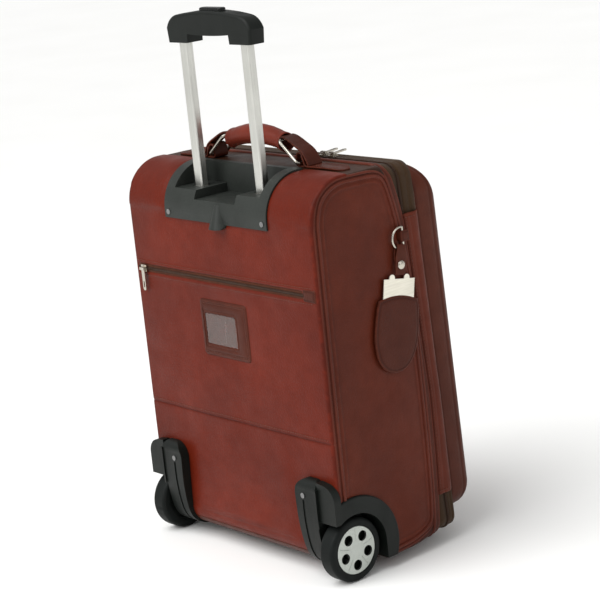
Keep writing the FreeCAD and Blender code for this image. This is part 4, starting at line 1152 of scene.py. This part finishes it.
def make_flat_zips():
    def on_back(x, z, lift):
        return -0.35 - lift

    flat_zip("back_zip", -155, 172, POCKET_ZIP_Z, 6.6, on_back, "case_body", "pocket_zip_tape")
    low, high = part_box("front_zip_tape")
    z = (low.z + high.z) / 2 / MM

    def on_lid(x, z, lift):
        return lid_face(x, z) + 0.9 + lift

    flat_zip("front_zip", -131, 131, z, 7.0, on_lid, "lid", "front_zip_tape")
    runs = []
    sewn = ((-168, POCKET_ZIP_Z - 9.4), (-168, POCKET_ZIP_Z + 9.4), (-172, LOWER_SEAM_Z + 4.5))
    for start, z in sewn:
        x = np.linspace(start, 172, 90)
        runs.append((points_at(x, -back_relief(x, z) - 0.75, z), BACKWARD))
    stitches("back_stitches", runs, "case_body")


def make_pocket_tab():
    """The folded leather end piece of the back pocket's zip."""
    outline, _ = loop(11.5, -8.0, 8.0, 2.5)
    outline = quartered(outline, [(11, -7.5), (11, 7.5), (-11, 7.5), (-11, -7.5)], (10, 14))
    outline = outline + [-165.0, POCKET_ZIP_Z]

    def height(distance, x, z):
        return 2.0 * swell_from(distance, 0.8) - 0.4 * hump(distance, 2.6, 0.8)

    rings = [0, 0.4, 0.9, 1.6, 2.6, 3.6]
    spine = ((-168, POCKET_ZIP_Z), (-162, POCKET_ZIP_Z))
    plane, lift, distance, faces = pillow(outline, spine, rings, height, (10, 14))
    points = at_depth(plane, -0.4 - lift)
    # Painted shade in the groove inside the rim; the rim itself lighter, as wear with painted
    # highlight.
    marks = {"seam": hump(distance, 2.6, 0.9), "wear_and_highlight": hump(distance, 0.4, 0.8)}
    obj = add_mesh("pocket_tab_leather", points, faces, CALF_DARK, marks)
    piece(obj, "case_body", "leather", "pocket_tab")


def make_name_frame():
    """The padded leather surround of the name window."""

    def ring(grow):
        xz, _ = loop(45.5 + grow, 261 - grow, 332 + grow, max(5.0 + grow, 0.8))
        return xz + [4.0, 0.0]

    def hole(grow):
        xz, _ = loop(30.0 + grow, 275 - grow, 315 + grow, 2.4 + max(grow, -1))
        return xz + [12.0, 0.0]

    outside = ((1.2, 0.0), (1.0, 0.7), (0, 1.5), (-2.2, 1.9), (-4.0, 1.5), (-5.0, 1.7))
    inside = ((3.5, 1.7), (2.6, 1.5), (1.4, 1.9), (0.2, 1.6), (-0.5, 0.9), (-0.5, 0.2))
    profile = [(ring(grow), lift) for grow, lift in outside]
    profile += [(ring(-6.0) + (hole(5.0) - ring(-6.0)) * t, 2.3) for t in (0.2, 0.5, 0.8)]
    profile += [(hole(grow), lift) for grow, lift in inside]
    grid = np.stack([at_depth(xz, -0.3 - lift) for xz, lift in profile])
    # Painted shade: darker at the frame's foot, its inner edge and its two grooves; the two crests
    # lighter, as wear with painted highlight.
    marks = np.zeros(grid.shape[:2])
    marks[4] = marks[10] = 0.9
    marks[0] = marks[-1] = 1.0
    wear_and_highlight = np.zeros(grid.shape[:2])
    wear_and_highlight[3] = wear_and_highlight[11] = 0.7
    faces = grid_faces(len(grid), grid.shape[1], True)
    obj = add_mesh("name_frame_leather", grid, faces, CALF_DARK, {"seam": marks, "wear_and_highlight": wear_and_highlight})
    piece(obj, "case_body", "leather", "id_frame")
    runs = [(at_depth(xz, -1.9), BACKWARD) for xz in (ring(-4.0), hole(2.6))]
    stitches("name_frame_stitches", runs, "case_body", 3.2, 2.4)


# ---- carry handle ----
GRIP_HALF = 52.0
GRIP_Z = 521.5
GRIP_BOW = 8.5


def make_carry_grip():
    """The stuffed grip: one hide wrapped round a core, sewn underneath, with open rolled ends."""
    end = np.linspace(0.88, 1, 8)
    t = np.concatenate([-end[::-1], np.linspace(-0.84, 0.84, 40), end])
    x = GRIP_HALF * t
    z = GRIP_Z + GRIP_BOW * (1 - t**2)
    flare = 1.5 * hump(np.abs(t), 1.0, 0.10)
    full = np.cos(t * math.pi / 2)
    wide = 12.0 + 1.3 * full + flare
    tall = 10.6 + 1.5 * full + flare
    ring = 40
    angle = np.linspace(0, 2 * math.pi, ring, endpoint=False)
    from_below = np.abs(((angle - 1.5 * math.pi) + math.pi) % (2 * math.pi) - math.pi)
    underside = hump(from_below, 0, 0.2)
    uneven = 1 + 0.02 * unevenness(x[:, None], angle[None, :] * 12, 9.0, 6.0)
    shape = uneven * (1 + 0.12 * underside[None, :])

    def rings(along, heights, half_depth, half_height, form):
        depth = HANDLE_DEPTH + half_depth[:, None] * np.cos(angle) * form
        height = heights[:, None] + half_height[:, None] * np.sin(angle) * form
        return points_at(along[:, None], depth, height)

    outside = rings(x, z, wide, tall, shape)
    lip_x = np.array([52.5, 52.3, 51.0, 46.0, 40.0])
    inset = np.array([0.7, 1.5, 2.0, 2.2, 2.4])
    lip_z = GRIP_Z + GRIP_BOW * (1 - (np.minimum(lip_x, GRIP_HALF) / GRIP_HALF) ** 2)
    lips = []
    for end in (-1, 1):
        form = shape[0 if end < 0 else -1][None, :]
        lips.append(rings(end * lip_x, lip_z, wide[0] - inset, tall[0] - inset, form))
    grid = np.concatenate([lips[0][::-1], outside, lips[1]])
    faces = grid_faces(len(grid), ring, True)
    centres = [[-lip_x[-1], HANDLE_DEPTH, lip_z[-1]], [lip_x[-1], HANDLE_DEPTH, lip_z[-1]]]
    points = np.vstack([grid.reshape(-1, 3), centres])
    for centre, first in ((len(points) - 2, 0), (len(points) - 1, (len(grid) - 1) * ring)):
        faces += [(centre, first + k, first + (k + 1) % ring) for k in range(ring)]
    # Painted shade: darker along the underside and inside the open ends; painted highlight: lighter
    # along the top, with wear at the cut ends.
    seam = np.broadcast_to(0.8 * underside[None, :], grid.shape[:2]).copy()
    seam[:3] = seam[-3:] = 1.0
    top = hump(angle, math.pi / 2, 0.9)[None, :]
    wear_and_highlight = np.zeros(grid.shape[:2])
    wear_and_highlight[5:-5] = 0.6 * top * (1 - t[:, None] ** 2) + hump(np.abs(t), 0.985, 0.02)[:, None]
    marks = {"seam": np.append(seam.ravel(), [1, 1]), "wear_and_highlight": np.append(wear_and_highlight.ravel(), [0, 0])}
    obj = add_mesh("carry_grip_leather", points, faces, CALF_BRIGHT, marks)
    piece(obj, "carry_handle", "leather", "carry_grip")
    runs = []
    for lean in (-0.42, 0.42):
        turn = 1.5 * math.pi + lean
        cos, sin = math.cos(turn), math.sin(turn)
        path = points_at(x, HANDLE_DEPTH + wide * cos, z + tall * sin)
        runs.append((path[6:-6], np.array([0, cos, sin])))
    stitches("carry_grip_stitches", runs, "carry_handle", 3.6, 2.6)


def ribbon(path, waist):
    """Points of a handle strap: a path in x and z, spread in depth, softly crowned."""
    path = even(np.asarray(path, float), 1.6)
    ahead = unit(np.gradient(path, axis=0))
    up = np.stack([-ahead[:, 1], ahead[:, 0]], 1)
    shares = np.array([-1, -0.97, -0.85, -0.5, 0, 0.5, 0.85, 0.97, 1.0])
    width = np.interp(np.linspace(0, 1, len(path)), *waist)
    crown = 0.5 * (1 - shares**4)
    x, z = (path[:, k, None] + up[:, k, None] * crown for k in (0, 1))
    return points_at(x, HANDLE_DEPTH + width[:, None] * shares, z)


def curve_through(points, count=40):
    """A smooth curve through a few points, by Catmull-Rom spans."""
    p = np.asarray(points, float)
    p = np.vstack([2 * p[0] - p[1], p, 2 * p[-1] - p[-2]])
    spans = []
    for i in range(1, len(p) - 2):
        t = np.linspace(0, 1, count, endpoint=False)[:, None]
        a, b, c, d = p[i - 1 : i + 3]
        squares = (2 * a - 5 * b + 4 * c - d) * t**2
        cubes = (3 * b - a - 3 * c + d) * t**3
        spans.append(0.5 * (2 * b + (c - a) * t + squares + cubes))
    return np.vstack(spans + [p[-2:-1]])


def make_handle_straps():
    """The tail on the case's top, the loop through each ring, and the bowed cover."""
    tail = curve_through(
        [(159, 495.0), (150, 496.2), (128, 496.6), (104, 496.4), (96, 497.0)]
        + [(93.5, 503), (91, 509.0)]
    )
    loop_over = curve_through(
        [(91.6, 506), (89.5, 511.2), (86, 512.2), (81.8, 510.8), (80.2, 505), (80, 498)]
        + [(84, 495.6), (96, 495.6)]
    )
    cover = curve_through(
        [(101.5, 496.8), (100, 500.5), (97, 506), (92.5, 512), (86, 516.6), (78, 520.8), (70, 525)]
        + [(62, 528.4), (55, 529.8), (49, 528.4), (43, 526.6)],
        12,
    )
    sets = (
        ("tail", tail, ([0, 0.06, 0.16, 1], [4.5, 9.0, 10.8, 11.5]), ["carry_chapes"]),
        ("loop", loop_over, ([0, 1], [10.5, 10.5]), []),
        ("cover", cover, ([0, 0.3, 0.7, 0.86, 1], [11, 10.8, 10.2, 9.4, 7.0]), ["carry_straps"]),
    )
    for name, path, waist, nodes in sets:
        grid = ribbon(path, waist)
        # Lighter strap edges: edge wear with painted highlight.
        wear_and_highlight = np.broadcast_to(np.abs(np.linspace(-1, 1, grid.shape[1])) ** 8, grid.shape[:2])
        faces = grid_faces(*grid.shape[:2])
        for side, suffix in ((1, "right"), (-1, "left")):
            shape = grid * np.array([side, 1.0, 1.0])
            title = "handle_%s_leather_%s" % (name, suffix)
            obj = add_mesh(title, shape, faces, CALF_DARK, {"wear_and_highlight": wear_and_highlight}, thick=2.3)
            if name == "cover":
                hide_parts(*nodes)
                low, high = place([[side * 99, HANDLE_DEPTH, 501], [side * 66, HANDLE_DEPTH, 527]])
                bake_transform(obj)
            else:
                piece(obj, "case_body", "leather", *nodes)
    runs = []
    for side in (-1, 1):
        x = np.linspace(114, 152, 12)
        for depth in (HANDLE_DEPTH - 8.4, HANDLE_DEPTH + 8.4):
            runs.append((points_at(side * x, depth, 498.1), UPWARD))
        cross = np.linspace(HANDLE_DEPTH - 7.5, HANDLE_DEPTH + 7.5, 6)
        runs.append((points_at(side * 113.5, cross, 498.2), UPWARD))
    stitches("handle_tail_stitches", runs, "case_body", 3.4, 2.5)


# ---- name tag ----
TAG_HANG = (128.0, 391.4)
TAG_LEAN = math.radians(10.0)
TAG_COUNTS = (32, 26)
TAG_TAB_DEPTH = 136.7


def leaning(points):
    """Turns what hangs from the ring by the tag's lean, about the ring's foot."""
    made = np.array(points, float)
    d, z = made[..., 1] - TAG_HANG[0], made[..., 2] - TAG_HANG[1]
    cos, sin = math.cos(TAG_LEAN), math.sin(TAG_LEAN)
    made[..., 1] = TAG_HANG[0] + d * cos + z * sin
    made[..., 2] = TAG_HANG[1] - d * sin + z * cos
    return made


def outer_face(node):
    """How far out on the left a CAD node reaches."""
    return (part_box(node)[0].x - CENTRE_X) / MM


def tag_outline():
    """The tongue's outline below the plate, with its bowed top edge."""
    half, top_z = 31.8, 329.5
    flank = curve_through(
        [(half, top_z), (34.5, 315), (36, 291), (33.5, 272), (26.5, 255), (15, 244.5)]
        + [(0, 240.5)],
        14,
    )
    top_d = np.linspace(-half, half, 24)[1:-1]
    top = np.stack([top_d, top_z + 6.0 * (1 - (top_d / half) ** 2)], 1)
    left = flank[::-1] * [-1, 1]
    corners = [(half, top_z), (26.5, 255), (-26.5, 255), (-half, top_z)]
    return quartered(np.vstack([flank, left[1:], top]), corners, TAG_COUNTS)


def make_tag():
    """The leather tongue, rounded at its edge, below the plate it is sewn to; its stitches are not
    drawn.
    """
    face_x = outer_face("tag_body")
    outline = tag_outline() + [TAG_HANG[0], 0]

    def height(distance, d, z):
        body = 1.3 * swell_from(distance, 1.0) + 0.7 * swell_from(distance, 14.0)
        return body - 0.5 * hump(distance, 3.4, 0.9)

    spine = ((TAG_HANG[0], 275), (TAG_HANG[0], 305))
    rings = [0, 0.4, 0.9, 1.7, 2.6, 3.4, 4.3, 5.6, 8]
    plane, lift, distance, faces = pillow(outline, spine, rings, height, TAG_COUNTS)
    front = points_at(face_x + 1.6 - lift, *plane.T)
    back = points_at(face_x + 3.2 + 0.3 * lift, *plane.T)
    points = leaning(np.vstack([front, back]))
    count, rim = len(plane), len(outline)
    faces = faces + [tuple(v + count for v in face) for face in faces]
    faces += wall_faces(rim, count)
    distance = np.concatenate([distance, distance])
    # Painted shade in the groove inside the rim; the rim lighter, as wear with painted highlight.
    marks = {"seam": hump(distance, 3.4, 1.0), "wear_and_highlight": hump(distance, 0.3, 0.9)}
    obj = add_mesh("tag_tongue_leather", points, faces, CALF_DARK, marks)
    piece(obj, "tag", "leather", "tag_body")


def make_tag_strap():
    """The strap that loops over the ring and is closed by a rivet."""
    outer = outer_face("tag_strap") + 1.0
    hang_d, hang_z = TAG_HANG
    turns = [(0.7, -31), (0.7, -12), (0.9, 1), (2.6, 5.4), (4.6, 3.5), (4.9, -4)]
    turns += [(3.2, -11), (2.2, -20)]
    side = even(curve_through(np.array(turns) + [outer, hang_z], 12), 1.4)
    shares = np.array([-1, -0.94, -0.6, 0, 0.6, 0.94, 1.0])
    width = np.interp(side[:, 1] - hang_z, [-31, -20, -8, 3], [7.4, 8.6, 8.4, 6.2])
    x = side[:, 0, None] - 0.3 * (1 - shares**2)
    grid = points_at(x, hang_d + width[:, None] * shares, side[:, 1, None])
    # Lighter strap edges: edge wear with painted highlight.
    wear_and_highlight = np.broadcast_to(np.abs(shares) ** 6, grid.shape[:2])
    faces = grid_faces(*grid.shape[:2])
    obj = add_mesh("tag_strap_leather", leaning(grid), faces, CALF_DARK, {"wear_and_highlight": wear_and_highlight}, thick=1.3)
    piece(obj, "tag_strap", "leather", "tag_strap")
    radius, lift = np.array(
        [(0, 0.0), (5.4, 0.0), (5.6, 0.5), (5.0, 1.3), (3.4, 1.9), (1.5, 2.2), (0.0, 2.3)]
    ).T[:, :, None]
    angle = np.linspace(0, 2 * math.pi, 24, endpoint=False)
    depth = hang_d + radius * np.cos(angle)
    height = hang_z - 19 + radius * np.sin(angle)
    grid = leaning(points_at(outer - 0.1 - lift, depth, height))
    rivet = add_mesh("tag_rivet", grid, grid_faces(len(grid), 24, True), BRIGHT)
    piece(rivet, "tag_strap", "bright_metal")


def make_tag_tab():
    """The leather tab that holds the ring to the case's side."""
    outline, _ = loop(6.6, 399.0, 413.0, 2.2)
    outline = quartered(outline, [(6, 399.6), (6, 412.4), (-6, 412.4), (-6, 399.6)], (12, 12))
    outline = outline + [TAG_TAB_DEPTH, 0]

    def height(distance, d, z):
        return 1.6 * swell_from(distance, 0.9) - 0.4 * hump(distance, 2.4, 0.7)

    rings = [0, 0.3, 0.8, 1.5, 2.4, 3.3]
    spine = ((TAG_TAB_DEPTH, 404), (TAG_TAB_DEPTH, 408))
    plane, lift, distance, faces = pillow(outline, spine, rings, height, (12, 12))
    top = points_at(outer_face("tag_tab") + 1.9 - lift, *plane.T)
    rim = len(outline)
    foot = top[:rim].copy()
    foot[:, 0] = -(HALF + 1.0)
    count = len(top)
    faces = faces + wall_faces(rim, count)
    # Painted shade in the groove inside the rim and at the foot against the case.
    marks = {"seam": np.concatenate([hump(distance, 2.4, 0.8), np.ones(rim)])}
    obj = add_mesh("tag_tab_leather", np.vstack([top, foot]), faces, CALF_DARK, marks)
    piece(obj, "case_body", "leather", "tag_tab")


# ---- linings ----
WELL_COVER_R = 72.0
WELL_COVER_X = 141.0


def make_lid_lining():
    grid, _ = lid_shell_rows(4.5)
    faces = grid_faces(len(grid), grid.shape[1], True)
    obj = add_mesh("lid_lining_cloth", grid, faces, LINING, thick=0.8)
    piece(obj, "lid", "lining_fabric", "lid_lining")


def make_body_lining():
    """A cloth tub sewn in behind the zip, with a bulge over the trolley tubes."""
    depths = np.array([6.0, 7.0, 10, 16, 24, 34, 46, 60, 76, 94, 112])
    rows = []
    for depth in depths:
        over = CROWN_R * (1 - math.sqrt(1 - (1 - min(depth / CROWN_R, 1.0)) ** 2))
        under = HEEL_R * (1 - math.sqrt(1 - (1 - min(depth / HEEL_R, 1.0)) ** 2))
        xz, _ = loop(HALF - 5.2, BASE + 5.4 + under, TOP - 5.6 - over, 22.0)
        rows.append(at_depth(xz, depth))
    for level in (-8.0, 4.0, 12.5):
        xz, _ = loop(HALF - 5.2, BASE + 5.2, TOP - 5.2, 17.0)
        rows.append(from_seam(xz, level))
    front = np.stack(rows)
    inner = front[0]
    heights = np.clip(inner[:, 2], 120, 400)
    middle = points_at(0.0, depths[0], heights)
    panel = np.stack([inner + (middle - inner) * share for share in np.linspace(1.0, 0.04, 22)])
    grid = np.concatenate([panel, front])
    x, z = np.abs(grid[..., 0]), grid[..., 2]
    over_tubes = (1 - soft_step(x, 84, 100)) * soft_step(z, 40, 60)
    over_tray = (1 - soft_step(x, 90, 104)) * soft_step(z, 438, 452)
    floor_depth = 9.4 + 36.6 * over_tubes + 16.0 * over_tray
    floor_depth = floor_depth + 1.2 * unevenness(grid[..., 0], z, 45.0, 40.0)
    grid[..., 1] = np.maximum(grid[..., 1], floor_depth)
    wells = from_axle(grid[..., 1], z) < WELL_COVER_R
    aside = wells & (x > WELL_COVER_X - 1)
    grid[..., 0] = np.where(aside, np.sign(grid[..., 0]) * WELL_COVER_X, grid[..., 0])
    faces = grid_faces(len(grid), grid.shape[1], True)
    obj = add_mesh("body_lining_cloth", grid, faces, LINING, thick=0.8)
    piece(obj, "case_body", "lining_fabric", "body_lining")


# ---- the CAD pieces that keep their shape ----
KEPT = (
    (TRAY, ["handle_tray"]),
    (BLACK, ["trolley_grip", "tube_base", "wheel_housing_left", "wheel_housing_right"]),
    (BLACK, ["hub_left", "hub_right"]),
    (BLACK_BUTTON, ["release_button"]),
    (BRUSHED, ["outer_tubes", "middle_tubes", "inner_tubes"]),
    (STEEL, ["push_rods", "lock_pin_left", "lock_pin_right", "wheel_axles", "back_screws"]),
    (STEEL, ["bearings_left", "bearings_right"]),
    (RUBBER, ["front_feet", "tyre_left", "tyre_right"]),
    (CAP, ["hub_cap_left", "hub_cap_right"]),
    (BRIGHT, ["carry_rings", "main_slider_outer", "main_slider_inner", "main_pull_outer"]),
    (BRIGHT, ["main_pull_inner", "front_slider", "front_pull", "pocket_slider", "pocket_pull"]),
    (BRIGHT, ["tag_ring"]),
    (PLATE, ["tag_plate"]),
    (FILM, ["id_window"]),
    (BOARD, ["stiffening_board"]),
)


def paint_kept_nodes():
    for material, names in KEPT:
        for name in names:
            mesh = NODES[name].data
            mesh.materials.clear()
            mesh.materials.append(material)


# ---- camera, light and floor ----
def make_camera():
    data = bpy.data.cameras.new("camera")
    data.lens = 122.04
    data.sensor_width = 36.0
    obj = add_object("camera", data)
    obj.location = (-1.94406, 1.57870, 0.91936)
    obj.rotation_euler = (math.radians(76.259), math.radians(5.7245), math.radians(-130.667))
    bpy.context.scene.camera = obj


def softbox(name, location, target, size, power):
    data = bpy.data.lights.new(name, "AREA")
    data.shape = "RECTANGLE"
    data.size, data.size_y = size
    data.energy = power
    obj = add_object(name, data)
    obj.location = location
    direction = Vector(target) - Vector(location)
    obj.rotation_euler = direction.to_track_quat("-Z", "Y").to_euler()


def make_studio():
    world = bpy.data.worlds.new("studio")
    world.use_nodes = True
    sky = world.node_tree.nodes["Background"]
    sky.inputs["Color"].default_value = (1.0, 1.0, 1.0, 1.0)
    sky.inputs["Strength"].default_value = 0.5
    bpy.context.scene.world = world
    softbox("key", (0.55, 2.6, 1.7), (0, 0, 0.3), (1.6, 1.6), 22)
    softbox("top", (-0.4, 0.5, 2.6), (0, 0, 0.4), (1.8, 1.8), 8)
    softbox("side", (-2.6, -0.6, 1.3), (0, 0, 0.3), (1.2, 1.6), 7)
    sun = bpy.data.lights.new("overhead", "SUN")
    sun.energy = 2.1
    sun.angle = math.radians(50)
    lamp = add_object("overhead", sun)
    lamp.rotation_euler = Vector((-0.15, -0.55, -0.85)).to_track_quat("-Z", "Y").to_euler()
    size = 80.0
    mesh = bpy.data.meshes.new("floor")
    corners = [(-size, -size, 0), (size, -size, 0), (size, size, 0), (-size, size, 0)]
    mesh.from_pydata(corners, [], [(0, 1, 2, 3)])
    mesh.materials.append(floor_paint("studio_floor"))
    add_object("floor", mesh)


bpy.context.scene.view_settings.view_transform = "Standard"
make_camera()
make_studio()
make_back()
make_top()
make_bottom()
make_sides()
make_front_strip()
make_zip_band()
make_storm_flap()
make_lid()
make_front_pocket()
make_flat_zips()
make_pocket_tab()
make_name_frame()
make_carry_grip()
make_handle_straps()
make_tag()
make_tag_strap()
make_tag_tab()
make_lid_lining()
make_body_lining()
paint_kept_nodes()

bpy.context.view_layer.update()
